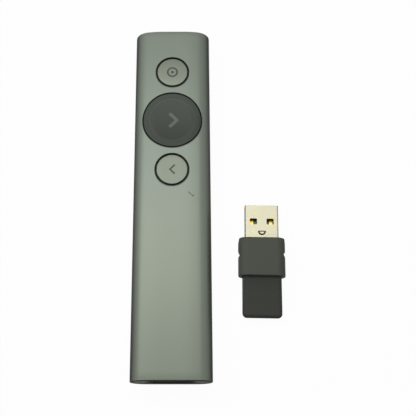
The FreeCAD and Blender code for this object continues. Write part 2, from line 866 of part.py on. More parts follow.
def make_switch(name):
    """A small dome switch: base with its well, snap dome, plunger, cover plate and terminals."""
    centre_y = BUTTON_Y[name]
    block = centred_box(
        name + "_base_block", (0, centre_y, BOARD_TOP_Z),
        (Z.switch_side, Z.switch_side, Z.switch_base_height),
    )
    well_z = BOARD_TOP_Z + Z.switch_floor
    well = rod(
        name + "_well", Z.switch_well_diameter, Z.switch_base_height, (0, centre_y, well_z),
    )
    subpart(name + "_switch_base", cut(name + "_switch_base", block, well))
    cover_z = BOARD_TOP_Z + Z.switch_base_height
    plate = centred_box(
        name + "_cover_plate", (0, centre_y, cover_z),
        (Z.switch_side, Z.switch_side, Z.switch_cover_thickness),
    )
    bore = rod(name + "_cover_bore", PLUNGER_BORE, Z.switch_cover_thickness, (0, centre_y, cover_z))
    subpart(name + "_switch_cover", cut(name + "_switch_cover", plate, bore))
    make_dome(name, centre_y, well_z)
    flange_z = well_z + DOME_RISE + Z.plunger_seat_gap
    flange = rod(
        name + "_plunger_flange", Z.plunger_flange_diameter, Z.plunger_flange_thickness,
        (0, centre_y, flange_z),
    )
    shaft = rod(
        name + "_plunger_shaft", Z.plunger_diameter, PLUNGER_TOP_Z - flange_z, (0, centre_y, flange_z),
    )
    subpart(name + "_switch_plunger", fuse(name + "_switch_plunger", flange, shaft))


def make_dome(name, centre_y, floor_z):
    """The snap dome, part of a hollow ball, whose rim stands on the floor of the well."""
    half = Z.dome_diameter / 2
    rise = DOME_RISE
    radius = (half * half + rise * rise) / (2 * rise)
    outer = DOC.addObject("Part::Sphere", name + "_dome_outer")
    bind(outer, Radius=radius)
    place(outer, 0, centre_y, floor_z + rise - radius)
    inner = DOC.addObject("Part::Sphere", name + "_dome_inner")
    bind(inner, Radius=radius - Z.dome_thickness)
    place(inner, 0, centre_y, floor_z + rise - radius)
    shell = cut(name + "_dome_shell", outer, inner)
    keep = rod(name + "_dome_keep", Z.dome_diameter, rise * 2, (0, centre_y, floor_z))
    subpart(name + "_switch_dome", common(name + "_switch_dome", shell, keep))


def make_terminals():
    """Soldered feet on both sides of every switch."""
    feet = []
    for name, centre_y in BUTTON_Y.items():
        for side in (-1, 1):
            for end in (-1, 1):
                middle_x = side * (Z.switch_side + Z.terminal_reach) / 2
                middle_y = centre_y + end * (Z.switch_side / 2 - Z.terminal_width)
                feet.append(centred_box(
                    f"{name}_foot", (middle_x, middle_y, BOARD_TOP_Z),
                    (Z.terminal_reach, Z.terminal_width, Z.terminal_thickness),
                ))
    subpart("switch_terminals", group("switch_terminals", *feet))


# Bay for the receiver

def make_bay():
    """The dark moulding that fills the tail: face, tunnel for the receiver and end wall."""
    body = new_body("receiver_bay")
    pad_y(body, "bay_block", bar_outline(INSERT_INSET), BAY_FACE_Y, BAY_END_Y)
    side_low_y = BAY_FACE_Y + Z.bay_face_thickness
    outside = Z.clicker_width / 2
    pocket_z(
        body, "side_rooms",
        [
            rectangle(-outside, -BAY_SIDE_X, side_low_y, BAY_BACK_Y),
            rectangle(BAY_SIDE_X, outside, side_low_y, BAY_BACK_Y),
        ],
        0, Z.clicker_height,
    )
    pad_x(
        body, "snap_lugs", [snap_lug_outline(0)],
        INSERT_WIDTH + 2 * Z.snap_lug_height,
    )
    stake_end_x = BAY_SIDE_X + Z.latch_strip_thickness + Z.stake_head
    pad_x(body, "latch_stakes", stake_circles(Z.stake_diameter), 2 * stake_end_x)
    tunnel = stadium(BAY_WIDTH, BAY_HEIGHT, MIDDLE_Z)
    pocket_y(body, "tunnel", tunnel, BAY_FACE_Y, BAY_BACK_Y)
    gap = 2 * Z.port_clearance
    port_room = stadium(Z.port_width + gap, Z.port_height + gap, MIDDLE_Z)
    pocket_y(body, "port_window", port_room, BAY_BACK_Y, BAY_END_Y)
    pocket_x(body, "latch_windows", [latch_window_outline()], 2 * BAY_SIDE_X)
    peg_holes(body)
    slot = Z.antenna_slot_clearance
    slots = pocket_y(
        body, "antenna_slot",
        rectangle(
            -BAY_SIDE_X - Z.antenna_thickness - slot, -BAY_SIDE_X + slot,
            ANTENNA_LOW_Z - slot, ANTENNA_LOW_Z + Z.antenna_width + slot,
        ),
        BAY_BACK_Y, BAY_END_Y,
    )
    dress(
        body, "PartDesign::Chamfer", "tunnel_mouth", slots, is_tunnel_mouth,
        Size=Z.bay_mouth_chamfer,
    )
    return subpart("receiver_bay", body)


def is_tunnel_mouth(edge):
    """Whether an edge of the bay runs round the mouth of its tunnel."""
    if not lies(edge, "y", BAY_FACE_Y):
        return False
    widest = max(abs(vertex.Point.x) for vertex in edge.Vertexes)
    tallest = max(abs(vertex.Point.z - MIDDLE_Z.value) for vertex in edge.Vertexes)
    return widest < BAY_WIDTH.value / 2 and tallest < BAY_HEIGHT.value / 2 + TOUCH


def stake_circles(diameter):
    reach = Z.latch_arm + Z.notch_half_width
    return [(LATCH_Y - reach, MIDDLE_Z, diameter), (LATCH_Y + reach, MIDDLE_Z, diameter)]


def latch_window_outline():
    """The window in each side wall that a latch strip's nose reaches through."""
    half_y = Z.notch_half_width + Z.bay_side_wall + Z.latch_window_clearance
    half_z = Z.latch_strip_width / 2 + Z.latch_window_clearance
    return rectangle(LATCH_Y - half_y, LATCH_Y + half_y, MIDDLE_Z - half_z, MIDDLE_Z + half_z)


def peg_holes(body):
    """Blind sockets in the end wall for the chassis pegs."""
    diameter = Z.peg_diameter + 2 * Z.peg_clearance
    profile = sketch(body, "peg_holes_outline", "XZ", -(BAY_END_Y - Z.peg_length - Z.peg_clearance))
    for side in (-1, 1):
        draw_circle(profile, side * PEG_X, PEG_Z, diameter)
    feature = body.newObject("PartDesign::Pocket", "peg_holes")
    feature.Profile = profile
    bind(feature, Length=Z.peg_length + Z.peg_clearance)


def make_latch_strips():
    """Two bent spring strips, staked to the bay's side walls. Their noses click into the receiver."""
    strips = []
    for side, name in ((-1, "left"), (1, "right")):
        body = new_body(f"{name}_latch_strip")
        base = side * BAY_SIDE_X
        nose = side * (BAY_WIDTH / 2 - Z.latch_reach)
        depth = BAY_SIDE_X - BAY_WIDTH / 2 + Z.latch_reach
        half = Z.notch_half_width * depth / Z.notch_depth
        half = at_most(half, Z.notch_half_width + Z.bay_side_wall)
        end = Z.latch_arm + Z.notch_half_width + Z.stake_diameter
        skin = Z.latch_strip_thickness
        thick = side * skin
        outline = [
            (base, LATCH_Y - end),
            (base, LATCH_Y - half),
            (nose, LATCH_Y),
            (base, LATCH_Y + half),
            (base, LATCH_Y + end),
            (base + thick, LATCH_Y + end),
            (base + thick, LATCH_Y + half + skin),
            (nose + 2 * thick, LATCH_Y + skin / 2),
            (nose + 2 * thick, LATCH_Y - skin / 2),
            (base + thick, LATCH_Y - half - skin),
            (base + thick, LATCH_Y - end),
        ]
        low_z = MIDDLE_Z - Z.latch_strip_width / 2
        pad_z(body, f"{name}_latch_bend", [outline], low_z, low_z + Z.latch_strip_width)
        pocket_x(
            body, f"{name}_latch_holes", stake_circles(Z.stake_diameter + 2 * Z.stake_clearance),
            Z.clicker_width,
        )
        strips.append(body)
    subpart("latch_strips", group("latch_strips", *strips))


# Chassis

def make_chassis():
    """The tray that carries the board on its rails, and the battery and the motor in its trough."""
    body = new_body("chassis")
    pad_y(body, "chassis_bar", bar_outline(INSERT_INSET), BAY_END_Y, CHASSIS_HEAD_Y)
    outside = Z.clicker_width / 2
    pocket_y(
        body, "board_room", rectangle(-outside, outside, BOARD_LOW_Z, Z.clicker_height),
        BAY_END_Y, CHASSIS_HEAD_Y,
    )
    half = BOARD_WIDTH / 2 - Z.rail_width
    rib_half = Z.rib_thickness / 2
    rooms = [
        rectangle(-half, half, BAY_END_Y, BATTERY_ROOM_HEAD_Y),
        rectangle(-half, half, BATTERY_ROOM_HEAD_Y + Z.rib_thickness, BUTTON_Y["next"] - rib_half),
        rectangle(-half, half, BUTTON_Y["next"] + rib_half, MOTOR_ROOM_TAIL_Y - Z.rib_thickness),
        rectangle(-half, half, MOTOR_ROOM_TAIL_Y, MOTOR_ROOM_HEAD_Y),
    ]
    pocket_z(body, "trough", rooms, CHASSIS_FLOOR_TOP_Z, BOARD_LOW_Z)
    notch = (Z.lead_spacing + 2 * Z.lead_diameter) / 2
    pocket_z(
        body, "lead_notch",
        [rectangle(-notch, notch, BATTERY_ROOM_HEAD_Y, BATTERY_ROOM_HEAD_Y + Z.rib_thickness)],
        BOARD_LOW_Z - Z.socket_height, BOARD_LOW_Z,
    )
    pilot_z = BOARD_LOW_Z - (Z.screw_length - Z.board_thickness) - Z.screw_tip_gap
    pilots = [(x, y, Z.screw_diameter) for x, y in screw_places()]
    pocket_z(body, "screw_pilots", pilots, pilot_z, BOARD_LOW_Z)
    profile = sketch(body, "pegs_outline", "XZ", -BAY_END_Y)
    for side in (-1, 1):
        draw_circle(profile, side * PEG_X, PEG_Z, Z.peg_diameter)
    feature = body.newObject("PartDesign::Pad", "pegs")
    feature.Profile = profile
    bind(feature, Length=Z.peg_length)
    return subpart("chassis", body)


def screw_places():
    """Four screws in the rails, two near each end of the board."""
    return [
        (side * (BOARD_WIDTH / 2 - Z.screw_side_inset), y)
        for y in (BOARD_TAIL_Y + Z.screw_end_inset, BOARD_HEAD_Y - Z.screw_end_inset)
        for side in (-1, 1)
    ]


def make_screws():
    """Four pan-head screws with a square socket."""
    screws = []
    for index, (x, y) in enumerate(screw_places()):
        name = f"screw_{index}"
        shank = rod(name + "_shank", Z.screw_diameter, Z.screw_length, (x, y, BOARD_TOP_Z - Z.screw_length))
        head = rod(name + "_head", Z.screw_head_diameter, Z.screw_head_height, (x, y, BOARD_TOP_Z))
        socket = centred_box(
            name + "_socket", (x, y, BOARD_TOP_Z + Z.screw_head_height - Z.screw_socket_depth),
            (Z.screw_socket_width, Z.screw_socket_width, Z.screw_socket_depth),
        )
        screws.append(cut(name, fuse(name + "_whole", shank, head), socket))
    subpart("board_screws", group("board_screws", *screws))


# Board and what is soldered to it

def make_board():
    """The main board, with its corner rounds, the cut-out for the charging port and the screw holes."""
    body = new_body("main_board")
    half = BOARD_WIDTH / 2
    outline = rounded(-half, half, BOARD_TAIL_Y, BOARD_HEAD_Y, Z.board_corner)
    pad_z(body, "board_plate", [outline], BOARD_LOW_Z, BOARD_TOP_Z)
    room = Z.port_width / 2 + Z.port_clearance
    pocket_z(
        body, "port_cutout", [rectangle(-room, room, BAY_END_Y, PORT_BACK_Y + Z.port_clearance)],
        BOARD_LOW_Z, BOARD_TOP_Z,
    )
    diameter = Z.screw_diameter + 2 * Z.screw_hole_clearance
    pocket_z(body, "board_holes", [(x, y, diameter) for x, y in screw_places()], BOARD_LOW_Z, BOARD_TOP_Z)
    return subpart("main_board", body)


def make_port():
    """The charging port that the docked receiver covers: shell, insulator and contacts."""
    shell = new_body("port_shell_tube")
    outline = stadium(Z.port_width, Z.port_height, MIDDLE_Z)
    pad_y(shell, "port_tube", outline, BAY_BACK_Y, PORT_BACK_Y)
    inner_width = Z.port_width - 2 * Z.port_wall
    inner_height = Z.port_height - 2 * Z.port_wall
    pocket_y(shell, "port_bore", stadium(inner_width, inner_height, MIDDLE_Z), BAY_BACK_Y, PORT_BACK_Y)
    ears = []
    ear_y = PORT_BACK_Y - Z.port_ear_length
    for side in (-1, 1):
        middle_x = side * (Z.port_width + Z.port_ear_width) / 2
        ears.append(centred_box(
            f"port_ear_{side + 1}", (middle_x, ear_y, BOARD_TOP_Z),
            (Z.port_ear_width + Z.port_wall, Z.port_ear_length, Z.port_ear_thickness),
        ))
    subpart("charging_port_shell", fuse("charging_port_shell", shell, *ears))
    block = new_body("charging_port_insulator")
    block_y = PORT_BACK_Y - Z.port_block_depth
    pad_y(block, "port_block", stadium(inner_width, inner_height, MIDDLE_Z), block_y, PORT_BACK_Y)
    half = Z.tongue_width / 2
    half_tall = Z.tongue_thickness / 2
    tongue_y = BAY_BACK_Y + Z.tongue_setback
    pad_y(
        block, "port_tongue", rectangle(-half, half, MIDDLE_Z - half_tall, MIDDLE_Z + half_tall),
        tongue_y, block_y,
    )
    subpart("charging_port_insulator", block)
    contacts = []
    for index in range(PORT_CONTACTS_PER_SIDE):
        x = (index - (PORT_CONTACTS_PER_SIDE - 1) / 2) * Z.port_contact_pitch
        for z in (MIDDLE_Z + half_tall, MIDDLE_Z - half_tall - Z.port_contact_thickness):
            length = block_y - tongue_y - Z.port_contact_pitch
            contacts.append(box(
                f"port_contact_{index}", (x - Z.port_contact_width / 2, block_y - length, z),
                (Z.port_contact_width, length, Z.port_contact_thickness),
            ))
    subpart("charging_port_contacts", group("charging_port_contacts", *contacts))


def make_board_parts():
    """Radio under its shield, motion sensor, charger chip and the antenna."""
    shield_y = PORT_BACK_Y + Z.shield_from_port + Z.shield_length / 2
    can = centred_box(
        "shield_can", (0, shield_y, BOARD_TOP_Z), (Z.shield_width, Z.shield_length, Z.shield_height),
    )
    walls = 2 * Z.shield_wall
    inside = centred_box(
        "shield_inside", (0, shield_y, BOARD_TOP_Z),
        (Z.shield_width - walls, Z.shield_length - walls, Z.shield_height - Z.shield_wall),
    )
    subpart("radio_shield", cut("radio_shield", can, inside))
    chip("radio_chip", 0, shield_y, Z.radio_chip_side, Z.radio_chip_height)
    sensor_y = (BUTTON_Y["back"] + BUTTON_Y["next"]) / 2
    chip("motion_sensor", 0, sensor_y, Z.sensor_chip_side, Z.sensor_chip_height)
    charger_y = PORT_BACK_Y + Z.shield_from_port / 2
    chip("charger_chip", 0, charger_y, Z.charger_chip_side, Z.charger_chip_height)
    make_antenna()


def chip(name, x, y, side, height):
    subpart(name, centred_box(name, (x, y, BOARD_TOP_Z), (side, side, height)))


def make_antenna():
    """A thin metal strip along the bay, where no aluminium is in front of it, with a foot on the board."""
    body = new_body("antenna")
    tail_y = BAY_FACE_Y + Z.bay_face_thickness + Z.antenna_tail_gap
    foot_low_y = BAY_END_Y + Z.board_corner
    foot_high_y = foot_low_y + Z.antenna_foot
    top = ANTENNA_LOW_Z + Z.antenna_width
    outline = [
        (tail_y, ANTENNA_LOW_Z),
        (foot_low_y, ANTENNA_LOW_Z),
        (foot_low_y, BOARD_TOP_Z),
        (foot_high_y, BOARD_TOP_Z),
        (foot_high_y, top),
        (tail_y, top),
    ]
    profile = sketch(body, "antenna_outline", "YZ", -BAY_SIDE_X - Z.antenna_thickness)
    draw_outline(profile, outline)
    feature = body.newObject("PartDesign::Pad", "antenna_strip")
    feature.Profile = profile
    bind(feature, Length=Z.antenna_thickness)
    return subpart("antenna", body)


# Battery and motor

def make_battery():
    """The pouch cell on its foam pad, with two leads to the socket under the board."""
    body = new_body("battery_cell")
    half = BOARD_WIDTH / 2 - Z.rail_width - Z.battery_side_gap
    low_y = BATTERY_ROOM_TAIL_Y + Z.lead_room
    high_y = BATTERY_ROOM_HEAD_Y - Z.lead_room
    top_z = BOARD_LOW_Z - Z.battery_top_gap
    section = rounded(-half, half, PAD_TOP_Z, top_z, Z.battery_round)
    pad_y(body, "pouch", section, low_y, high_y)
    subpart("battery_cell", body)
    margins = 4 * Z.battery_round
    pad = centred_box(
        "battery_pad", (0, (low_y + high_y) / 2, CHASSIS_FLOOR_TOP_Z),
        (2 * half - margins, high_y - low_y - margins, Z.pad_thickness),
    )
    subpart("battery_pad", pad)
    lead_z = BOARD_LOW_Z - Z.socket_height / 2
    leads = []
    for side in (-1, 1):
        centre = (side * Z.lead_spacing / 2, high_y, lead_z)
        leads.append(rod(f"lead_{side + 1}", Z.lead_diameter, Z.lead_reach, centre, "y"))
    subpart("battery_leads", group("battery_leads", *leads))
    socket_y = high_y + Z.lead_reach + Z.socket_length / 2
    socket = centred_box(
        "battery_socket", (0, socket_y, BOARD_LOW_Z - Z.socket_height),
        (Z.socket_width, Z.socket_length, Z.socket_height),
    )
    subpart("battery_socket", socket)


def make_motor():
    """The coin vibration motor on its pad, with two leads that rise to the board."""
    centre_y = MOTOR_ROOM_TAIL_Y + Z.motor_room / 2
    pad_diameter = Z.motor_diameter - 2 * Z.motor_pad_margin
    pad = rod("motor_pad", pad_diameter, Z.pad_thickness, (0, centre_y, CHASSIS_FLOOR_TOP_Z))
    subpart("motor_pad", pad)
    top_z = BOARD_LOW_Z - Z.motor_top_gap
    can = rod("vibration_motor", Z.motor_diameter, top_z - PAD_TOP_Z, (0, centre_y, PAD_TOP_Z))
    subpart("vibration_motor", can)
    leads = []
    for side in (-1, 1):
        x = side * Z.motor_lead_spacing / 2
        leads.append(rod(
            f"motor_lead_{side + 1}", Z.motor_lead_diameter, BOARD_LOW_Z - top_z,
            (x, centre_y, top_z),
        ))
    subpart("motor_leads", group("motor_leads", *leads))


# Receiver, in its own frame: the plug points to +Y and the shoulder is at Y zero

def make_receiver():
    """Every piece of the receiver, built straight and then set down beside the clicker."""
    pieces = [
        make_receiver_housing(),
        make_plug_shell(),
        make_plug_tray(),
        make_receiver_board(),
        make_plug_contacts(),
        make_on_receiver_board(
            "receiver_chip", -Z.receiver_chip_side / 2,
            Z.receiver_chip_side, Z.receiver_chip_side, Z.receiver_chip_height,
        ),
        make_on_receiver_board(
            "receiver_crystal", Z.receiver_chip_side * CRYSTAL_PLACE_SHARE,
            Z.crystal_width, Z.crystal_length, Z.crystal_height,
        ),
        make_pull_tab(),
    ]
    for item in pieces:
        item.Placement = FreeCAD.Placement(
            FreeCAD.Vector(), FreeCAD.Rotation(FreeCAD.Vector(0, 0, 1), RECEIVER_TURN),
        )
        place(item, Z.clicker_width / 2 + Z.receiver_side_gap + RECEIVER_WIDTH / 2, Z.receiver_shoulder_y)


def make_receiver_housing():
    """The dark sleeve of the receiver, open at the back, with a notch in each side and a slim nose."""
    body = new_body("receiver_housing")
    rear_y = -Z.receiver_body_length
    outside = pad_y(
        body, "receiver_bar", stadium(RECEIVER_WIDTH, Z.receiver_height, RECEIVER_AXIS_Z), rear_y, 0,
    )
    side = RECEIVER_WIDTH / 2
    notches = [
        [
            (sign * side, NOTCH_Y - Z.notch_half_width),
            (sign * side, NOTCH_Y + Z.notch_half_width),
            (sign * (side - Z.notch_depth), NOTCH_Y),
        ]
        for sign in (-1, 1)
    ]
    pocket_z(body, "notches", notches, 0, Z.receiver_height)
    lead_ins = [
        [(sign * side, 0), (sign * (side - Z.lead_in_depth), 0), (sign * side, -Z.lead_in_length)]
        for sign in (-1, 1)
    ]
    shaped = pocket_z(body, "lead_ins", lead_ins, 0, Z.receiver_height)
    dress(
        body, "PartDesign::Fillet", "receiver_edge", shaped,
        lambda edge: lies(edge, "y", 0) or lies(edge, "y", rear_y),
        Radius=Z.receiver_edge_round,
    )
    pocket_y(body, "receiver_room", room_section(0), rear_y, -Z.receiver_wall)
    hole = plug_section(Z.plug_tray_clearance)
    pocket_y(body, "plug_hole", hole, -Z.receiver_wall, 0)
    return subpart("receiver_housing", body)


def room_section(shrink):
    """Outline of the room inside the housing, or of what closes it, shrunk by a clearance."""
    half = RECEIVER_WIDTH / 2 - Z.notch_depth - Z.receiver_wall - shrink
    half_tall = Z.receiver_height / 2 - Z.receiver_wall - shrink
    corner = Z.receiver_room_corner - shrink
    return rounded(-half, half, RECEIVER_AXIS_Z - half_tall, RECEIVER_AXIS_Z + half_tall, corner)


def plug_section(growth):
    """Outline of the plug's shell seen along it, grown by a clearance."""
    half = Z.plug_width / 2 + growth
    half_tall = Z.plug_height / 2 + growth
    return rounded(
        -half, half, RECEIVER_AXIS_Z - half_tall, RECEIVER_AXIS_Z + half_tall, Z.plug_corner_round + growth,
    )


def make_plug_shell():
    """The folded steel shell of the plug, with two windows on each face and a crimped lug."""
    body = new_body("plug_shell")
    pad_y(body, "plug_tube", plug_section(0), -Z.plug_root, Z.plug_length)
    inner = plug_section(-Z.plug_wall)
    pocket_y(body, "plug_bore", inner, -Z.plug_root, Z.plug_length)
    high_y = Z.plug_length - Z.plug_window_from_tip
    low_y = high_y - Z.plug_window_length
    windows = []
    for sign in (-1, 1):
        middle = sign * Z.plug_window_spacing / 2
        half = Z.plug_window_width / 2
        windows.append(rounded(middle - half, middle + half, low_y, high_y, Z.plug_window_corner))
    pocket_z(body, "plug_windows", windows, 0, Z.receiver_height)
    pocket_z(body, "crimp_slot", [crimp_outline()], RECEIVER_AXIS_Z, Z.receiver_height)
    return subpart("plug_shell", body)


def crimp_outline():
    """The half-round slot round the crimped lug."""
    half = Z.crimp_width / 2
    flat_y = Z.plug_length - Z.crimp_from_tip
    inner = half - Z.crimp_slot
    return [
        (-half, flat_y, 0, flat_y, 1),
        (half, flat_y),
        (inner, flat_y, 0, flat_y, -1),
        (-inner, flat_y),
    ]


def make_plug_tray():
    """The insulator that fills the lower half of the plug under the contact board."""
    gap = Z.plug_tray_clearance
    half = Z.plug_width / 2 - Z.plug_wall - gap
    low_z = RECEIVER_AXIS_Z - Z.plug_height / 2 + Z.plug_wall
    top_z = RECEIVER_AXIS_Z - Z.plug_board_thickness
    length = Z.plug_length + Z.plug_root - Z.plug_board_inset
    corner_gap = Z.plug_corner_round - Z.plug_wall
    body = new_body("plug_tray")
    outline = [
        (-half + corner_gap, low_z),
        (half - corner_gap, low_z),
        (half, low_z + corner_gap),
        (half, top_z),
        (-half, top_z),
        (-half, low_z + corner_gap),
    ]
    pad_y(body, "tray_block", outline, -Z.plug_root, -Z.plug_root + length)
    return subpart("plug_tray", body)


def make_receiver_board():
    """The receiver's board: a slim tongue in the plug and a wider end in the housing."""
    body = new_body("receiver_board")
    tongue = Z.plug_width / 2 - Z.plug_wall - Z.plug_tray_clearance
    wide = RECEIVER_WIDTH / 2 - Z.notch_depth - Z.receiver_wall - Z.receiver_board_side_gap
    outline = [
        (-tongue, Z.plug_length - Z.plug_board_inset),
        (-tongue, -Z.plug_root),
        (-wide, -Z.plug_root),
        (-wide, RECEIVER_BOARD_END_Y),
        (wide, RECEIVER_BOARD_END_Y),
        (wide, -Z.plug_root),
        (tongue, -Z.plug_root),
        (tongue, Z.plug_length - Z.plug_board_inset),
    ]
    pad_z(body, "receiver_plate", [outline], RECEIVER_AXIS_Z - Z.plug_board_thickness, RECEIVER_AXIS_Z)
    return subpart("receiver_board", body)


def make_plug_contacts():
    """Four gold contacts on the tongue, seen through the windows."""
    contacts = []
    high_y = Z.plug_length - Z.plug_board_inset - Z.plug_wall
    for spacing in (Z.contact_inner_spacing, Z.contact_outer_spacing):
        for sign in (-1, 1):
            middle = sign * spacing / 2
            contacts.append(box(
                "plug_contact", (middle - Z.contact_width / 2, high_y - Z.contact_length, RECEIVER_AXIS_Z),
                (Z.contact_width, Z.contact_length, Z.contact_thickness),
            ))
    return subpart("plug_contacts", group("plug_contacts", *contacts))


def make_on_receiver_board(name, middle_x, width, length, height):
    """A soldered part halfway along the wide end of the receiver's board."""
    body = new_body(name)
    middle_y = (RECEIVER_BOARD_END_Y - Z.plug_root) / 2
    outline = rectangle(
        middle_x - width / 2, middle_x + width / 2, middle_y - length / 2, middle_y + length / 2,
    )
    pad_z(body, name + "_block", [outline], RECEIVER_AXIS_Z, RECEIVER_AXIS_Z + height)
    return subpart(name, body)


def make_pull_tab():
    """The flat tab that a finger pulls, with a round end, on the plate that closes the housing."""
    body = new_body("pull_tab")
    rear_y = -Z.receiver_body_length
    pad_y(body, "tab_plate", room_section(Z.tab_plate_clearance), rear_y, rear_y + Z.tab_plate_thickness)
    tab_end_y = rear_y - Z.tab_length
    pad_y(
        body, "tab_blade", stadium(Z.tab_width, Z.tab_thickness, RECEIVER_AXIS_Z),
        tab_end_y, rear_y,
    )
    half = Z.tab_width / 2
    corner = Z.tab_corner_round
    trims = []
    for sign in (-1, 1):
        inner = sign * (half - corner)
        trims.append([
            (sign * half, tab_end_y),
            (sign * half, tab_end_y + corner, inner, tab_end_y + corner, -sign),
            (inner, tab_end_y),
        ])
    shaped = pocket_z(body, "tab_corners", trims, 0, Z.receiver_height)
    dress(
        body, "PartDesign::Fillet", "tab_end_round", shaped,
        lambda edge: lies(edge, "y", tab_end_y) and not lies(edge, "z", RECEIVER_AXIS_Z),
        Radius=Z.tab_thickness / 2 * TAB_END_ROUND_SHARE,
    )
    return subpart("pull_tab", body)


def check_and_export():
    """Stop at any failed object or unsound shape, then write each sub-part's file."""
    DOC.recompute()
    for item in DOC.Objects:
        if "Invalid" in item.State or "Error" in item.State:
            raise RuntimeError(f"{item.Label} failed: {item.State}")
    os.makedirs("parts", exist_ok=True)
    for item in SUBPARTS:
        shape = item.Shape
        if shape.isNull() or not shape.isValid() or not shape.Solids:
            raise RuntimeError(f"{item.Label} has no sound solid")
        shape.exportStep(f"parts/{item.Label}.step")
        print(f"{item.Label}: {len(shape.Solids)} solid(s), {shape.Volume:.3f} mm3")


def main():
    make_sleeve()
    make_buttons()
    for name in BUTTON_Y:
        make_switch(name)
    make_terminals()
    make_bay()
    make_latch_strips()
    make_chassis()
    make_screws()
    make_board()
    make_port()
    make_board_parts()
    make_battery()
    make_motor()
    make_receiver()
    check_and_export()


main()
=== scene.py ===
"""A wireless presentation clicker and its plug-in receiver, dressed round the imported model.

All lengths are metres in the model's own frame: +X to the right, +Y towards the pointing end, +Z up
from the face that the clicker rests on. The origin is the middle of the clicker's underside.
"""
import math

import bmesh
import bpy
from mathutils import Matrix, Vector


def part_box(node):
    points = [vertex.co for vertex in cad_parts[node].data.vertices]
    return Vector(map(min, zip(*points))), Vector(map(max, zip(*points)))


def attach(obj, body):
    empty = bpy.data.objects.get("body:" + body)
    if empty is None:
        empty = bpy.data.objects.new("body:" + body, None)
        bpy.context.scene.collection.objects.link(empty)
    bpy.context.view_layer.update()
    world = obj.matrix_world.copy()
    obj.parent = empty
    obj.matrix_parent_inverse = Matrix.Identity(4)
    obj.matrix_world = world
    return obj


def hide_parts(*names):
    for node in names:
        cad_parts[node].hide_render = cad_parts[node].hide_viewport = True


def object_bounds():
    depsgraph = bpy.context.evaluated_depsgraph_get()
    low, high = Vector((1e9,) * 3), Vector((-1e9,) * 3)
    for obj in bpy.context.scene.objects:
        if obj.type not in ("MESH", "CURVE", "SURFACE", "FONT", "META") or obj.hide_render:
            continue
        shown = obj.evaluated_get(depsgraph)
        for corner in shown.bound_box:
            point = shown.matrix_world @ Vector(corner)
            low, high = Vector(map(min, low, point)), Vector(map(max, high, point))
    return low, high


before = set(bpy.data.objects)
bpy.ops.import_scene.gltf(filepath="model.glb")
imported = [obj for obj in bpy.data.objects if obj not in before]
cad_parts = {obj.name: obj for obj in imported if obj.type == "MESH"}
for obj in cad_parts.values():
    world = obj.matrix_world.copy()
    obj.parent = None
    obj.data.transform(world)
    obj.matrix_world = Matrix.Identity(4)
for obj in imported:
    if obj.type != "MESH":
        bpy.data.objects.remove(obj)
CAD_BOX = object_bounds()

bl_info = {
    "name": "Presentation Clicker",
    "version": (1, 0, 0),
    "blender": (4, 5, 0),
    "location": "3D View > Sidebar > Clicker",
    "description": "Fine shapes, finishes, light and camera for a presentation clicker and its receiver",
    "category": "Object",
}

MM = 0.001

# The bar, read from the frame: full-round below
SLEEVE_LOW, SLEEVE_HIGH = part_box("housing_sleeve")
MIDDLE_Z = (SLEEVE_LOW.z + SLEEVE_HIGH.z) / 2
BAR_RADIUS = (SLEEVE_HIGH.z - SLEEVE_LOW.z) / 2
HALF_WIDTH = (SLEEVE_HIGH.x - SLEEVE_LOW.x) / 2
FLAT_HALF = HALF_WIDTH - BAR_RADIUS

# Its gently crowned top: a flat middle, a shallow arc on each side, and a tighter arc that meets the
# shallow one without a corner and ends upright at half height
CROWN_FLAT_HALF = 4.0 * MM
CROWN_RADIUS = 28.0 * MM
CROWN_MIDDLE_Z = SLEEVE_HIGH.z - CROWN_RADIUS
CROWN_REACH = HALF_WIDTH - CROWN_FLAT_HALF
CROWN_DEPTH = CROWN_RADIUS - BAR_RADIUS
SHOULDER_RADIUS = CROWN_RADIUS ** 2 - CROWN_REACH ** 2 - CROWN_DEPTH ** 2
SHOULDER_RADIUS /= 2 * (CROWN_RADIUS - CROWN_REACH)
SHOULDER_X = HALF_WIDTH - SHOULDER_RADIUS

BUTTONS = ("back", "next", "highlight")

# How finely the round shapes are divided
ARC_STEPS = 48
FLAT_STEPS = 24
SHOULDER_STEP = 12
EDGE_STEPS = 4
PATCH_RINGS = 11
PATCH_STEPS = 34
TURN_STEPS = 144
DISH_STEPS = 44
TAIL_STEPS = 24
HEAD_STEPS = 6
ARROW_STEPS = 14
ARROW_COLUMNS = 4
SCREW_STEPS = 24

# How much the rings of the skin crowd towards a hole, and from which share of its radius on a cap's
# face belongs to its wall
RING_CROWDING = 1.3
WALL_SHARE = 0.998

# Vertices closer than this are one; a recast mesh is a little looser, because its triangles are loose
MERGE = 1e-7
WELD = 10 * MERGE

# Edges bent more than SHARP stay sharp, and faces bent less than LEVEL become one
SHARP = math.radians(38)
LEVEL = math.radians(1)

# Small dark scuff beside the back button, as lines seen from above: start, end and width
SCUFFS = (
    ((5.995 * MM, 0.352 * MM), (7.594 * MM, -1.178 * MM), 0.3 * MM),
    ((7.594 * MM, -1.178 * MM), (7.85 * MM, -0.75 * MM), 0.22 * MM),
)

# The half-round crimp in the plug's face, and the rubbed line in front of its root
CRIMP_FROM_TIP = 9.9 * MM
CRIMP_RADIUS = 1.35 * MM
RUB_FROM_BODY = 0.95 * MM

# How far the floor lies below the object, and half of its width
FLOOR_GAP = 0.02 * MM
FLOOR_REACH = 3.0


def tone(red, green, blue):
    """A colour as a screen shows it, 0 to 255, as the linear colour that a socket takes."""
    linear = []
    for level in (red / 255, green / 255, blue / 255):
        linear.append(level / 12.92 if level <= 0.04045 else ((level + 0.055) / 1.055) ** 2.4)
    return (*linear, 1.0)


def length(name, description, millimetres):
    size = millimetres * MM
    return bpy.props.FloatProperty(
        name=name, description=description, default=size, unit="LENGTH", precision=5,
    )


def share(name, description, default):
    return bpy.props.FloatProperty(name=name, description=description, default=default, min=0, soft_max=1)


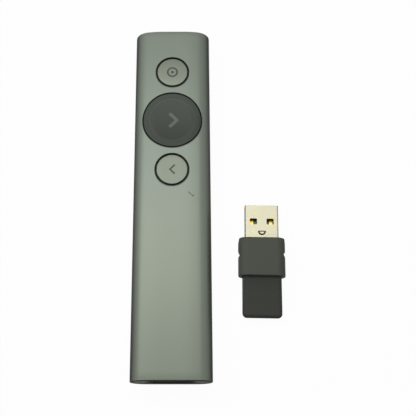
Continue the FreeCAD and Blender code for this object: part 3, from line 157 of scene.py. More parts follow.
def angle(name, description, degrees):
    turn = math.radians(degrees)
    return bpy.props.FloatProperty(name=name, description=description, default=turn, subtype="ANGLE")


def colour(name, description, *levels):
    return bpy.props.FloatVectorProperty(
        name=name, description=description, default=tone(*levels), subtype="COLOR", size=4, min=0, max=1,
    )


class ClickerSizes(bpy.types.PropertyGroup):
    """Sizes of the fine shapes that the frame's boxes don't give."""

    sleeve_wall: length("Sleeve wall", "Thickness of the aluminium sleeve", 0.9)
    head_wall: length("Head wall", "Thickness of the closed pointing end", 1.2)
    head_round: length("Head round", "Rounding of the sleeve's closed end", 0.45)
    # The sleeve's rounded open end is painted dark as shade
    tail_round: length("Tail round", "Rounding of the sleeve's open end, which is dark", 0.34)
    bore_round: length("Bore edge", "Rounding of the inner edge at the open tail", 0.15)
    hole_round: length("Hole edge", "Rounding of the button holes' upper edges", 0.18)
    # Painted shade round each button hole: how far it reaches, and how much further it reaches on the
    # hole's tail side
    hole_painted_shade_reach: length("Edge shade", "How far the darker anodising runs out from a hole's edge", 0.3)
    tail_side_painted_shade_reach: length("Tail side shade", "How much further it runs out on the hole's tail side", 0.35)
    land: length("Land", "Sleeve between two neighbouring button holes", 2.445)
    small_gap: length("Small gap", "Gap round the two small buttons", 0.6)
    large_gap: length("Large gap", "Gap round the large button", 0.3)
    cap_recess: length("Cap recess", "How far the caps lie below the sleeve's face", 0.1)
    cap_round: length("Cap edge", "Rounding of a cap's upper edge", 0.18)
    cap_lip: length("Cap lip", "How far a cap's hidden lip reaches past its hole", 0.65)
    lip_gap: length("Lip gap", "Gap between a cap's lip and the sleeve above it", 0.12)
    lip_thickness: length("Lip thickness", "Thickness of a cap's hidden lip", 0.5)
    skirt_wall: length("Skirt wall", "Wall of a cap's hidden skirt", 1.1)
    cap_plate: length("Cap plate", "Thickness of a cap's top", 0.9)
    stem: length("Stem", "Diameter of the stem that meets the switch", 3.2)
    rim: length("Rim", "Width of the rim round the large button's dish", 2.35)
    dish: length("Dish", "Depth of the large button's dish", 0.55)
    dish_softness: length("Dish edge", "How softly the dish meets its rim", 0.06)
    mark_depth: length("Mark depth", "Depth of the inlaid marks", 0.3)
    ring_stroke: length("Ring stroke", "Stroke of the ring mark", 0.62)
    dot: length("Dot", "Diameter of the dot mark", 1.1)
    mark_rise: length("Mark rise", "How far the printed arrows stand proud", 0.012)
    back_stroke: length("Back stroke", "Stroke of the back button's arrow", 0.6)
    next_stroke: length("Next stroke", "Stroke of the large button's arrow", 1.15)
    # Painted shade on the anodising: round sides darker, more so near the bar's ends, the whole bar darker
    # near its ends, and a hole's edge darkest
    side_painted_shade_tone: share("Side tone", "How light the anodising is on the bar's round sides", 0.27)
    side_painted_shade_fall: share("Side fall", "How light those sides are near the bar's ends, against its middle", 0.4)
    end_painted_shade_fall: share("End fall", "How light the anodising is near the bar's ends, against its middle", 0.93)
    hole_painted_shade_tone: share("Edge tone", "How light the anodising is on a hole's edge", 0.06)


class ClickerColours(bpy.types.PropertyGroup):
    """Colours of the finishes."""

    sleeve: colour("Sleeve", "Anodised aluminium of the sleeve", 126, 133, 121)
    sleeve_head: colour("Sleeve's head", "The same near the pointing end, a little cooler", 124, 132, 122)
    cap: colour("Caps", "Anodised aluminium of the two small caps", 122, 129, 116)
    soft_touch: colour("Large button", "Soft-touch cap of the large button", 56, 63, 55)
    inside: colour("Inside", "Black plastic in the gaps", 14, 15, 12)
    # The black plastic's colour, also used as painted shade on the sleeve's hole walls and on the caps'
    # side walls in the gaps
    dark_mark: colour("Dark marks", "Marks on the two small caps", 46, 52, 42)
    light_mark: colour("Light mark", "Arrow on the large button", 88, 97, 87)
    receiver: colour("Receiver", "Soft-touch plastic of the receiver", 89, 93, 84)
    tab: colour("Pull tab", "Soft-touch plastic of the receiver's tab", 79, 81, 75)
    bay: colour("Bay", "Plastic of the tail's bay", 32, 34, 25)
    plug: colour("Plug", "Satin nickel of the plug", 176, 172, 147)
    gold: colour("Gold", "Gold plating of the contacts", 214, 176, 78)
    board: colour("Boards", "Green solder mask of the boards", 44, 92, 66)
    tin: colour("Tin", "Tin-plated and spring steel", 196, 196, 190)
    foil: colour("Foil", "Laminated foil of the battery", 188, 190, 193)
    lead: colour("Leads", "Insulation of the leads", 150, 34, 30)
    nylon: colour("Socket", "Natural nylon of the battery's socket", 222, 216, 198)


class ClickerStage(bpy.types.PropertyGroup):
    """Light, floor and camera."""

    key_power: bpy.props.FloatProperty(
        name="Key light", description="Power of the softbox", default=1.5, unit="POWER",
    )
    key_distance: length("Key distance", "From the object's middle to the softbox", 420)
    key_across: length("Key across", "Size of the softbox across the clicker", 750)
    key_along: length("Key along", "Size of the softbox along the clicker", 220)
    key_left: angle("Key to the left", "Lean of the softbox to the left of upright", 16)
    key_forward: angle("Key forward", "Lean of the softbox towards the pointing end", 16)
    ambient: share("Ambient", "Strength of the room's fill", 0.1)
    floor: colour("Floor", "Pale floor", 252, 252, 252)
    floor_bounce: share("Floor bounce", "How much light the floor sends back to the object", 0.15)
    floor_white: share("Floor white", "How far the seen floor is plain white, over its shading", 0.97)
    camera_x: length("Camera right", "Camera's place to the right of the middle", 5.557)
    camera_y: length("Camera along", "Camera's place along the clicker", -90.480)
    camera_z: length("Camera height", "Camera's height over the floor", 267.366)
    camera_tilt: angle("Tilt", "Camera's lean away from straight down", 18.3654)
    camera_pan: angle("Pan", "Camera's turn to the side", 0.4115)
    camera_roll: angle("Roll", "Camera's turn about its own axis", 0.0257)
    camera_shift: share("Shift", "How far the view is cropped to the right, in image widths", 0.06186)
    lens: bpy.props.FloatProperty(
        name="Lens", description="Focal length on a 36 mm wide sensor", default=65.819, unit="CAMERA",
    )


# Node trees

def arithmetic(operation):
    """An operator that a Math node does."""
    return lambda signal, other: signal.math(operation, other)


class Signal:
    """A socket that Python arithmetic extends with Math nodes."""

    __add__ = __radd__ = arithmetic("ADD")
    __sub__ = arithmetic("SUBTRACT")
    __mul__ = __rmul__ = arithmetic("MULTIPLY")
    __truediv__ = arithmetic("DIVIDE")

    def __init__(self, net, socket):
        self.net = net
        self.socket = socket

    def __abs__(self):
        return self.math("ABSOLUTE")

    def __rsub__(self, other):
        return self.net.node("ShaderNodeMath", {"operation": "SUBTRACT"}, {0: other, 1: self})

    def math(self, operation, *others):
        return self.net.node("ShaderNodeMath", {"operation": operation}, dict(enumerate((self, *others))))


def distance(x, y):
    """How far a point lies from the middle of its plane."""
    return (x * x + y * y).math("SQRT")


class Net:
    """A node tree that is built one node at a time."""

    def __init__(self, tree):
        self.tree = tree

    def node(self, kind, settings, inputs, output=0):
        """Add a node: its settings first, then the values or links of its sockets."""
        item = self.tree.nodes.new(kind)
        for name, value in settings.items():
            setattr(item, name, value)
        for key, value in inputs.items():
            if isinstance(value, Signal):
                self.tree.links.new(value.socket, item.inputs[key])
            else:
                item.inputs[key].default_value = value
        return Signal(self, item.outputs[output]) if item.outputs else None

    def axes(self, position):
        """The three coordinates of a position, apart."""
        return [self.node("ShaderNodeSeparateXYZ", {}, {0: position}, axis) for axis in "XYZ"]

    def join(self, x, y, z):
        return self.node("ShaderNodeCombineXYZ", {}, {0: x, 1: y, 2: z})

    def vector(self, operation, *values, output=0):
        return self.node("ShaderNodeVectorMath", {"operation": operation}, dict(enumerate(values)), output)

    def between(self, value, low, high, start=0.0, end=1.0):
        """A smooth step of a value, from start at low to end at high."""
        settings = {"interpolation_type": "SMOOTHSTEP", "clamp": True}
        return self.node("ShaderNodeMapRange", settings, {0: value, 1: low, 2: high, 3: start, 4: end})


class Finish(Net):
    """A procedural material on object coordinates."""

    def __init__(self, name):
        self.material = bpy.data.materials.new(name)
        self.material.use_nodes = True
        super().__init__(self.material.node_tree)
        self.tree.nodes.clear()
        self.position = self.node("ShaderNodeTexCoord", {}, {}, "Object")

    def noise(self, scale, detail=2.0, roughness=0.5, position=None):
        """Cloudy noise, 0 to 1; the scale is in features per metre."""
        inputs = {"Vector": position or self.position, "Scale": scale}
        return self.node("ShaderNodeTexNoise", {}, {**inputs, "Detail": detail, "Roughness": roughness})

    def cells(self, scale, randomness=1.0):
        """Distance to the nearest of many scattered points, in cells."""
        inputs = {"Vector": self.position, "Scale": scale, "Randomness": randomness}
        return self.node("ShaderNodeTexVoronoi", {}, inputs)

    def streaks(self, stretch, scale):
        """Noise drawn out along one axis, as brushing leaves it."""
        return self.noise(scale, 3.0, 0.6, self.vector("MULTIPLY", self.position, stretch))

    def blend(self, factor, first, second):
        """A colour that goes from first to second with a factor."""
        settings = {"data_type": "RGBA", "clamp_factor": True}
        return self.node("ShaderNodeMix", settings, {0: factor, 6: first, 7: second}, 2)

    def shaded(self, shade, factor):
        """A colour made lighter or darker by a factor."""
        grey = self.node("ShaderNodeCombineColor", {}, {0: factor, 1: factor, 2: factor})
        settings = {"data_type": "RGBA", "blend_type": "MULTIPLY"}
        return self.node("ShaderNodeMix", settings, {0: 1.0, 6: shade, 7: grey}, 2)

    def bump(self, height, depth):
        """A normal from a height of 0 to 1 that stands for a depth in metres."""
        return self.node("ShaderNodeBump", {}, {"Height": height, "Distance": depth})

    def surface(self, shade, tint, roughness, height, depth, **more):
        """Close with a shade times a tint, and a bump of a depth in metres."""
        body = self.shaded(shade, tint)
        return self.close(Base_Color=body, Roughness=roughness, Normal=self.bump(height, depth), **more)

    def close(self, **inputs):
        """End in a Principled shader; an underscore in a socket's name stands for a space."""
        named = {name.replace("_", " "): value for name, value in inputs.items()}
        shader = self.node("ShaderNodeBsdfPrincipled", {}, named)
        self.node("ShaderNodeOutputMaterial", {}, {"Surface": shader})
        return self.material


class Recipe(Net):
    """A geometry node tree with named inputs that ends in Realize Instances and Set Material."""

    def __init__(self, name, inputs):
        super().__init__(bpy.data.node_groups.new(name, "GeometryNodeTree"))
        for label, kind in inputs.items():
            self.tree.interface.new_socket(label, in_out="INPUT", socket_type="NodeSocket" + kind)
        self.tree.interface.new_socket("Result", in_out="OUTPUT", socket_type="NodeSocketGeometry")
        self.group = self.tree.nodes.new("NodeGroupInput")

    def given(self, label):
        return Signal(self, self.group.outputs[label])

    def leg(self, longest, other):
        """The third side of a right-angled triangle."""
        return (longest * longest - other * other).math("MAXIMUM", 0.0).math("SQRT")

    def close(self, geometry):
        """Realize the geometry, give it its finish and send it out."""
        real = self.node("GeometryNodeRealizeInstances", {}, {"Geometry": geometry})
        inputs = {"Geometry": real, "Material": self.given("Finish")}
        self.node("NodeGroupOutput", {}, {"Result": self.node("GeometryNodeSetMaterial", {}, inputs)})
        return self.tree


def turned_recipe():
    """Turn a profile about an upright axis; what its Y marks follows the bar's crowned top."""
    recipe = Recipe("Turned on the bar", {
        "Profile": "Geometry", "Steps": "Int", "Axis": "Vector", "Flat half": "Float",
        "Crown middle": "Float", "Crown radius": "Float", "Shoulder": "Vector", "Shoulder radius": "Float",
        "Finish": "Material",
    })
    given = recipe.given
    profile = {"Geometry": given("Profile")}
    count = recipe.node("GeometryNodeAttributeDomainSize", {"component": "MESH"}, profile, "Point Count")
    grid = recipe.node("GeometryNodeMeshGrid", {}, {"Vertices X": given("Steps") + 1, "Vertices Y": count})
    index = recipe.node("GeometryNodeInputIndex", {}, {})
    place = recipe.node("FunctionNodeIntegerMath", {"operation": "MODULO"}, {0: index, 1: count})
    step = recipe.node("FunctionNodeIntegerMath", {"operation": "DIVIDE"}, {0: index, 1: count})
    position = recipe.node("GeometryNodeInputPosition", {}, {})
    point = recipe.node(
        "GeometryNodeSampleIndex", {"data_type": "FLOAT_VECTOR", "domain": "POINT"},
        {**profile, "Value": position, "Index": place},
    )
    reach, follow, height = recipe.axes(point)
    turn = step * math.tau / given("Steps")
    axis_x, axis_y, _ = recipe.axes(given("Axis"))
    x = axis_x + reach * turn.math("COSINE")
    y = axis_y + reach * turn.math("SINE")
    aside = abs(x)
    flat, centre, radius = given("Flat half"), given("Crown middle"), given("Crown radius")
    shoulder_x, _, shoulder_z = recipe.axes(given("Shoulder"))
    shallow_radius = height - centre
    tight_radius = shallow_radius - radius + given("Shoulder radius")
    shallow = centre + recipe.leg(shallow_radius, (aside - flat).math("MAXIMUM", 0.0))
    tight = shoulder_z + recipe.leg(tight_radius, aside - shoulder_x)
    joint = flat + (shoulder_x - flat) * shallow_radius / (radius - given("Shoulder radius"))
    crown = shallow + aside.math("GREATER_THAN", joint) * (tight - shallow)
    z = height + follow * (crown - height)
    moved = recipe.node("GeometryNodeSetPosition", {}, {"Geometry": grid, "Position": recipe.join(x, y, z)})
    merged = recipe.node("GeometryNodeMergeByDistance", {}, {"Geometry": moved, "Distance": MERGE})
    return recipe.close(merged)


def rows_recipe():
    """Repeat one piece in columns, rows and layers at even pitches."""
    recipe = Recipe("Rows of copies", {
        "Piece": "Geometry", "Columns": "Int", "Rows": "Int", "Layers": "Int", "Pitch": "Vector",
        "Finish": "Material",
    })
    given = recipe.given
    pitch = recipe.axes(given("Pitch"))
    copies = given("Piece")
    for label, direction in (("Columns", 0), ("Rows", 1), ("Layers", 2)):
        parts = [0.0, 0.0, 0.0]
        parts[direction] = pitch[direction]
        line = recipe.node(
            "GeometryNodeMeshLine", {"mode": "OFFSET", "count_mode": "TOTAL"},
            {"Count": given(label), "Offset": recipe.join(*parts)},
        )
        copies = recipe.node("GeometryNodeInstanceOnPoints", {}, {"Points": line, "Instance": copies})
    return recipe.close(copies)


def cooked(item, tree, **inputs):
    """Run a recipe on an object and keep the plain mesh; an underscore in a label stands for a space."""
    modifier = item.modifiers.new("Recipe", "NODES")
    modifier.node_group = tree
    for entry in tree.interface.items_tree:
        label = entry.name.replace(" ", "_")
        if entry.in_out == "INPUT" and label in inputs:
            modifier[entry.identifier] = inputs[label]
    graph = bpy.context.evaluated_depsgraph_get()
    mesh = bpy.data.meshes.new_from_object(item.evaluated_get(graph))
    item.modifiers.remove(modifier)
    item.data = mesh
    return item


# Meshes

def placed(name, data):
    """Put an object round some data in the scene."""
    item = bpy.data.objects.new(name, data)
    bpy.context.scene.collection.objects.link(item)
    return item


def finished(name, shape, *finishes):
    """Close a bmesh into an object with outward normals, soft curves and its finishes."""
    bmesh.ops.remove_doubles(shape, verts=shape.verts, dist=MERGE)
    bmesh.ops.recalc_face_normals(shape, faces=shape.faces)
    mesh = bpy.data.meshes.new(name)
    shape.to_mesh(mesh)
    shape.free()
    for finish in finishes:
        mesh.materials.append(finish)
    return softened(placed(name, mesh))


def softened(item):
    """Shade an object smoothly, apart from its sharp edges."""
    item.data.shade_smooth()
    item.data.set_sharp_from_angle(angle=SHARP)
    return item


def settled(item, body, slot, node):
    """Hang a finished piece under its body's empty and hide the node that it stands for; the slot is not
    used.
    """
    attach(item, body)
    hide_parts(node)


def recast(node, finish, body, slot):
    """Put a node's own mesh in its place, as one welded shape in a better finish."""
    shape = bmesh.new()
    shape.from_mesh(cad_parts[node].data)
    bmesh.ops.remove_doubles(shape, verts=shape.verts, dist=WELD)
    bmesh.ops.dissolve_limit(shape, angle_limit=LEVEL, verts=shape.verts, edges=shape.edges)
    for face in shape.faces:
        face.material_index = 0
    settled(finished(node.replace("_", ".") + ".fine", shape, finish), body, slot, node)


def painted(node, finish):
    """Give a node that stays as it is a better finish."""
    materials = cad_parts[node].data.materials
    if not materials:
        materials.append(finish)
    for index in range(len(materials)):
        materials[index] = finish


def crown_z(x, inset=0.0):
    """Height of the bar's upper face, or of a face that lies an inset below it."""
    part = (CROWN_RADIUS - inset) / (CROWN_RADIUS - SHOULDER_RADIUS)
    if abs(x) > CROWN_FLAT_HALF + part * (SHOULDER_X - CROWN_FLAT_HALF):
        radius, beyond, middle = SHOULDER_RADIUS - inset, abs(x) - SHOULDER_X, MIDDLE_Z
    else:
        radius, beyond, middle = CROWN_RADIUS - inset, max(abs(x) - CROWN_FLAT_HALF, 0.0), CROWN_MIDDLE_Z
    return middle + math.sqrt(max(radius * radius - beyond * beyond, 0.0))


def bar_section(inset):
    """The bar's section as (x, z): down its right side, left below, up its left side and back on top."""
    radius = BAR_RADIUS - inset
    flat = [FLAT_HALF * (1 - 2 * step / FLAT_STEPS) for step in range(1, FLAT_STEPS)]
    right = []
    for step in range(ARC_STEPS + 1):
        turn = math.pi * step / ARC_STEPS
        x = FLAT_HALF + radius * math.sin(turn)
        z = crown_z(x, inset) if 2 * step <= ARC_STEPS else MIDDLE_Z + radius * math.cos(turn)
        right.append((x, z))
    left = [(-x, z) for x, z in reversed(right)]
    under = [(x, MIDDLE_Z - radius) for x in flat]
    over = [(-x, crown_z(x, inset)) for x in flat]
    return right + under + left + over


def ring(shape, section, y):
    return [shape.verts.new((x, y, z)) for x, z in section]


def bridge(shape, first, second, closed=True, finish=0):
    """Faces between two rows of vertices, in the finish of a given number."""
    count = len(first)
    for step in range(count if closed else count - 1):
        after = (step + 1) % count
        face = shape.faces.new((first[step], first[after], second[after], second[step]))
        face.material_index = finish


def join_rows(shape, rows, closed=True, finish=0):
    """Bridge each row of vertices to the next."""
    for first, second in zip(rows, rows[1:]):
        bridge(shape, first, second, closed, finish)


def stretch(shape, inset, stations, skip=None):
    """The bar's skin along some stations; skip leaves its top open as far as that step of each side."""
    section = bar_section(inset)
    if skip is not None:
        section = section[skip:2 * ARC_STEPS + FLAT_STEPS + 1 - skip]
    rows = [ring(shape, section, y) for y in stations]
    join_rows(shape, rows, closed=skip is None)


def spread(low, high, steps):
    return [low + (high - low) * step / steps for step in range(steps + 1)]


class Hole:
    """A round button hole: its place and size, read from the cap that it holds."""

    def __init__(self, name, sizes):
        low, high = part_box(name + "_cap")
        self.y = (low.y + high.y) / 2
        self.radius = (high.x - low.x) / 2 - sizes.cap_lip
        self.low = self.y - self.radius - sizes.land / 2
        self.high = self.y + self.radius + sizes.land / 2
        self.skip = SHOULDER_STEP if self.radius > FLAT_HALF else 0

    def stations(self):
        return spread(self.low, self.high, PATCH_STEPS)

    def border(self, inset):
        """Points (x, y) round the open part of the skin, counterclockwise from the tail's left."""
        over = [x for x, z in bar_section(inset)]
        over = over[len(over) - FLAT_STEPS + 1 - self.skip - 1:] + over[:self.skip + 1]
        stations = self.stations()
        tail = [(x, self.low) for x in over]
        right = [(over[-1], y) for y in stations[1:]]
        head = [(x, self.high) for x in reversed(over[:-1])]
        left = [(over[0], y) for y in reversed(stations[1:-1])]
        return tail + right + head + left

    def directions(self):
        """Unit directions from the hole's middle to the border of the outer skin."""
        return [Vector((x, y - self.y)).normalized() for x, y in self.border(0.0)]

    def circle(self, shape, radius, drop):
        """Vertices round the hole, below the bar's upper face by a drop."""
        points = [(radius * way.x, self.y + radius * way.y) for way in self.directions()]
        return [shape.verts.new((x, y, crown_z(x, 0.0) - drop)) for x, y in points]

    def plate(self, shape, inset, rim):
        """The skin between the border and a circle, as rings that close in; gives the last one."""
        border = self.border(inset)
        rows = []
        for step in range(PATCH_RINGS + 1):
            part = 1 - (1 - step / PATCH_RINGS) ** RING_CROWDING
            row = []
            for (x, y), way in zip(border, self.directions()):
                near_x = x + (rim * way.x - x) * part
                near_y = y + (self.y + rim * way.y - y) * part
                row.append(shape.verts.new((near_x, near_y, crown_z(near_x, inset))))
            rows.append(row)
        join_rows(shape, rows)
        return rows[-1]

    def cut(self, shape, sizes):
        """Both skins round the hole, its rounded upper edge, and its wall in the second finish, painted
        black as shade.
        """
        rows = [self.plate(shape, 0.0, self.radius + sizes.hole_round)]
        for step in range(1, EDGE_STEPS + 1):
            turn = math.pi / 2 * step / EDGE_STEPS
            radius = self.radius + sizes.hole_round * (1 - math.sin(turn))
            rows.append(self.circle(shape, radius, sizes.hole_round * (1 - math.cos(turn))))
        join_rows(shape, rows)
        bridge(shape, rows[-1], self.plate(shape, sizes.sleeve_wall, self.radius), finish=1)


def arrow_print(name, node, stroke, pointing, surface, rise, finish):
    """A square-cut arrowhead with arms at 45 degrees, laid on a surface as a thin print."""
    low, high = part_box(node)
    reach = (high.y - low.y) / 2
    middle = (low.y + high.y) / 2
    tip = high.x if pointing > 0 else low.x
    slant = stroke / math.sqrt(2)
    shape = bmesh.new()
    for side in (1, -1):
        rows = []
        for run in spread(0, 1, ARROW_STEPS):
            outer = Vector((tip - pointing * reach * run, middle + side * reach * run))
            inner_start = Vector((tip - pointing * 2 * slant, middle))
            inner_end = Vector((tip - pointing * (reach + slant), middle + side * (reach - slant)))
            inner = inner_start.lerp(inner_end, run)
            columns = [outer.lerp(inner, part) for part in spread(0, 1, ARROW_COLUMNS)]
            spots = [(spot.x, spot.y, surface(spot.x, spot.y)) for spot in columns]
            top = [shape.verts.new((x, y, z + rise)) for x, y, z in spots]
            under = [shape.verts.new((x, y, z - 4 * rise)) for x, y, z in reversed(spots)]
            rows.append(top + under)
        join_rows(shape, rows)
        shape.faces.new(rows[-1])
    return finished(name, shape, finish)


# Finishes

def anodised(name, shade, head_shade, sizes, holes=(), scuffs=()):
    """Bead-blasted, anodised aluminium: fine grain, faint clouds and scuffs, with painted shade on its
    round sides, towards its ends and round the holes.
    """
    finish = Finish(name)
    grain = finish.noise(9000, 3.0, 0.65)
    cloud = finish.noise(55, 4.0, 0.55)
    specks = finish.cells(2600)
    tint = 1 + (grain - 0.5) * 0.16 + (cloud - 0.5) * 0.07
    tint = tint - finish.between(specks, 0.1, 0.0) * 0.05
    rubbed = finish.noise(700, 3.0, 0.6)
    x, y, z = finish.axes(finish.position)
    rise = abs((z - MIDDLE_Z) / BAR_RADIUS)
    along = abs(y)
    # Painted shade: the bar darker towards both ends, and darker on its round sides, most near the ends
    tint = tint * finish.between(along, 20 * MM, 66 * MM, 1.0, sizes.end_painted_shade_fall)
    side = finish.between(along, 25 * MM, 62 * MM, 1.0, sizes.side_painted_shade_fall) * sizes.side_painted_shade_tone
    tint = tint * finish.between(rise, 0.3, 0.8, side, 1.0)
    # Painted shade round each hole, darkest at its edge and reaching further on its tail side; the rubbed
    # noise only roughens its rim
    for hole in holes:
        across = distance(x, y - hole.y) - hole.radius
        reach = sizes.hole_painted_shade_reach + (rubbed - 0.5) * 0.1 * MM
        reach = reach + finish.between(y, hole.y, hole.y - hole.radius) * sizes.tail_side_painted_shade_reach
        tint = tint * finish.between(across, 0.0, reach, sizes.hole_painted_shade_tone, 1.0)
    polish = 0.0
    for start, end, width in scuffs:
        mark = scuff(finish, start, end, width)
        tint = tint * (1 - mark * 0.6)
        polish = mark * 0.1 + polish
    toward_head = finish.between(y, -25 * MM, 20 * MM)
    body = finish.shaded(finish.blend(toward_head, shade, head_shade), tint)
    rough = 0.42 + (cloud - 0.5) * 0.07 + (grain - 0.5) * 0.08 - polish
    return finish.close(
        Base_Color=body, Roughness=rough, Metallic=0.5, Specular_IOR_Level=0.3,
        Specular_Tint=(0.2, 0.2, 0.2, 1), Normal=finish.bump(grain, 0.004 * MM),
    )


def scuff(finish, start, end, width):
    """How much a short rubbed line, seen from above, marks a point."""
    along = Vector((*end, 0)) - Vector((*start, 0))
    flat = finish.vector("MULTIPLY", finish.position, (1, 1, 0))
    offset = finish.vector("SUBTRACT", flat, (*start, 0))
    part = finish.vector("DOT_PRODUCT", offset, tuple(along), output="Value") / along.length_squared
    part = part.math("MAXIMUM", 0.0).math("MINIMUM", 1.0)
    nearest = finish.join(along.x * part, along.y * part, 0.0)
    away = finish.vector("LENGTH", finish.vector("SUBTRACT", offset, nearest), output="Value")
    ragged = away + (finish.noise(2500, 2.0) - 0.5) * width * 0.9
    above = finish.between(finish.axes(finish.position)[2], MIDDLE_Z, MIDDLE_Z + BAR_RADIUS / 2)
    return finish.between(ragged, width, width * 0.3) * above


def moulded(name, shade, roughness, grain_depth=0.006, sheen=0.04, shine=0.5, painted_highlight_ring=None, painted_light_fade=None):
    """Moulded plastic with a fine grain, flow clouds and a little dust; where they are given, a painted
    highlight on a round ring (middle's y, radius, width, gain) and painted light that changes along y
    (from, to, gain there, gain here)."""
    finish = Finish(name)
    grain = finish.noise(7000, 3.0, 0.6)
    cloud = finish.noise(120, 4.0, 0.6)
    dust = finish.between(finish.cells(1500), 0.07, 0.0)
    tint = 1 + (grain - 0.5) * 0.2 + (cloud - 0.5) * 0.12 + dust * 0.25
    # Painted highlight on a thin round ring
    if painted_highlight_ring:
        centre_y, radius, width, gain = painted_highlight_ring
        x, y, _ = finish.axes(finish.position)
        across = distance(x, y - centre_y) - radius
        tint = tint + finish.between(abs(across), width, 0.0) * gain
    # Painted light and shade that change along y
    if painted_light_fade:
        tint = tint * finish.between(finish.axes(finish.position)[1], *painted_light_fade)
    rough = roughness + (cloud - 0.5) * 0.12 + dust * 0.1
    look = {"Sheen_Weight": sheen, "Specular_IOR_Level": shine}
    return finish.surface(shade, tint, rough, grain, grain_depth * MM, **look)


def plated(name, shade, roughness, brushed=(1, 0.03, 1), metallic=1.0):
    """Plated sheet metal with drawing streaks, stains and fine scratches."""
    finish = Finish(name)
    lines = finish.streaks(brushed, 9000)
    stain = finish.noise(380, 4.0, 0.6)
    tint = 1 + (lines - 0.5) * 0.14 + (stain - 0.5) * 0.12
    rough = roughness + (lines - 0.5) * 0.16 + (stain - 0.5) * 0.1
    return finish.surface(shade, tint, rough, lines, 0.002 * MM, Metallic=metallic)


def solder_mask(name, shade):
    """Green solder mask over copper: traces, a speckled weave and tinned vias."""
    finish = Finish(name)
    blocks = finish.node(
        "ShaderNodeTexBrick", {"offset": 0.37, "squash": 2.0, "squash_frequency": 3},
        {
            "Vector": finish.position, "Scale": 900.0, "Mortar Size": 0.09, "Mortar Smooth": 0.2,
            "Brick Width": 1.9, "Row Height": 0.55,
        }, "Fac",
    )
    weave = finish.noise(6000, 2.0)
    vias = finish.between(finish.cells(700, 0.8), 0.15, 0.1)
    between_traces = finish.shaded(shade, 0.8 + weave * 0.2)
    traces = finish.blend(blocks, between_traces, finish.shaded(shade, 1.5))
    body = finish.blend(vias, traces, tone(190, 186, 160))
    height = blocks * 0.7 + weave * 0.3
    return finish.close(
        Base_Color=body, Roughness=0.3 + weave * 0.15, Metallic=vias * 0.8, Coat_Weight=0.3,
        Normal=finish.bump(height, 0.02 * MM),
    )


def chip_package(name):
    """Black moulded chip with a fine matt face."""
    finish = Finish(name)
    grit = finish.noise(9000, 3.0, 0.7)
    smear = finish.noise(500, 3.0)
    tint = 0.85 + grit * 0.25 + smear * 0.15
    return finish.surface(tone(38, 39, 40), tint, 0.38 + smear * 0.2, grit, 0.006 * MM)


def pouch_foil(name, shade):
    """Laminated battery foil: soft wrinkles and a satin shine."""
    finish = Finish(name)
    wrinkle = finish.noise(260, 5.0, 0.6)
    fine = finish.noise(2500, 3.0)
    tint = 0.86 + wrinkle * 0.2 + fine * 0.08
    height = wrinkle * 0.8 + fine * 0.2
    return finish.surface(shade, tint, 0.3 + wrinkle * 0.2, height, 0.06 * MM, Metallic=0.85)


def foam(name):
    """Open-cell adhesive foam."""
    finish = Finish(name)
    pores = finish.cells(5200)
    return finish.surface(tone(44, 45, 46), 0.55 + pores, 0.9, pores, 0.05 * MM)


def insulation(name, shade):
    """Soft extruded insulation of a thin lead."""
    finish = Finish(name)
    pull = finish.streaks((1, 0.08, 1), 5000)
    return finish.surface(shade, 0.9 + pull * 0.2, 0.4 + pull * 0.15, pull, 0.004 * MM)


def printed(name, shade):
    """A thin mark with a slightly uneven ink."""
    finish = Finish(name)
    ink = finish.noise(5200, 4.0, 0.7)
    wash = finish.noise(900, 2.0)
    return finish.surface(shade, 0.9 + ink * 0.12 + wash * 0.08, 0.46 + ink * 0.12, ink, 0.003 * MM)


def plug_nickel(name, shade):
    """Satin nickel of the plug: a rubbed line near its root, with painted shade in its creases and on its
    rounded sides.
    """
    finish = Finish(name)
    low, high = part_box("plug_shell")
    x, y, z = finish.axes(finish.position)
    lines = finish.streaks((0.05, 1, 1), 9000)
    stain = finish.noise(420, 4.0, 0.6)
    rub_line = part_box("receiver_housing")[1].y + RUB_FROM_BODY
    rub = finish.between(abs(y - rub_line), 0.2 * MM, 0.06 * MM)

    # Painted shade in the crimp's grooves: a straight one across, and a half-round one on its side towards
    # the root
    aside = x - (low.x + high.x) / 2
    above = y - (high.y - CRIMP_FROM_TIP)
    crease_painted_shade = finish.between(abs(above), 0.26 * MM, 0.16 * MM)
    crease_painted_shade = crease_painted_shade * finish.between(abs(aside), CRIMP_RADIUS + 0.1 * MM, CRIMP_RADIUS)
    around = distance(aside, above) - CRIMP_RADIUS + 0.2 * MM
    around = finish.between(abs(around), 0.34 * MM, 0.24 * MM)
    around = around * finish.between(above, 0.1 * MM, 0.0)
    crease_painted_shade = crease_painted_shade.math("MAXIMUM", around)

    # Painted shade: the rounded sides darker below the top
    sides = finish.between(z, high.z - 0.45 * MM, high.z - 0.12 * MM, 0.4, 1.0)
    tint = 1 + (lines - 0.5) * 0.08 + (stain - 0.5) * 0.07 - rub * 0.1
    tint = tint * (1 - crease_painted_shade * 0.92) * sides
    rough = 0.36 + (lines - 0.5) * 0.12 + (stain - 0.5) * 0.1
    return finish.surface(shade, tint, rough, lines, 0.0015 * MM, Metallic=0.5)


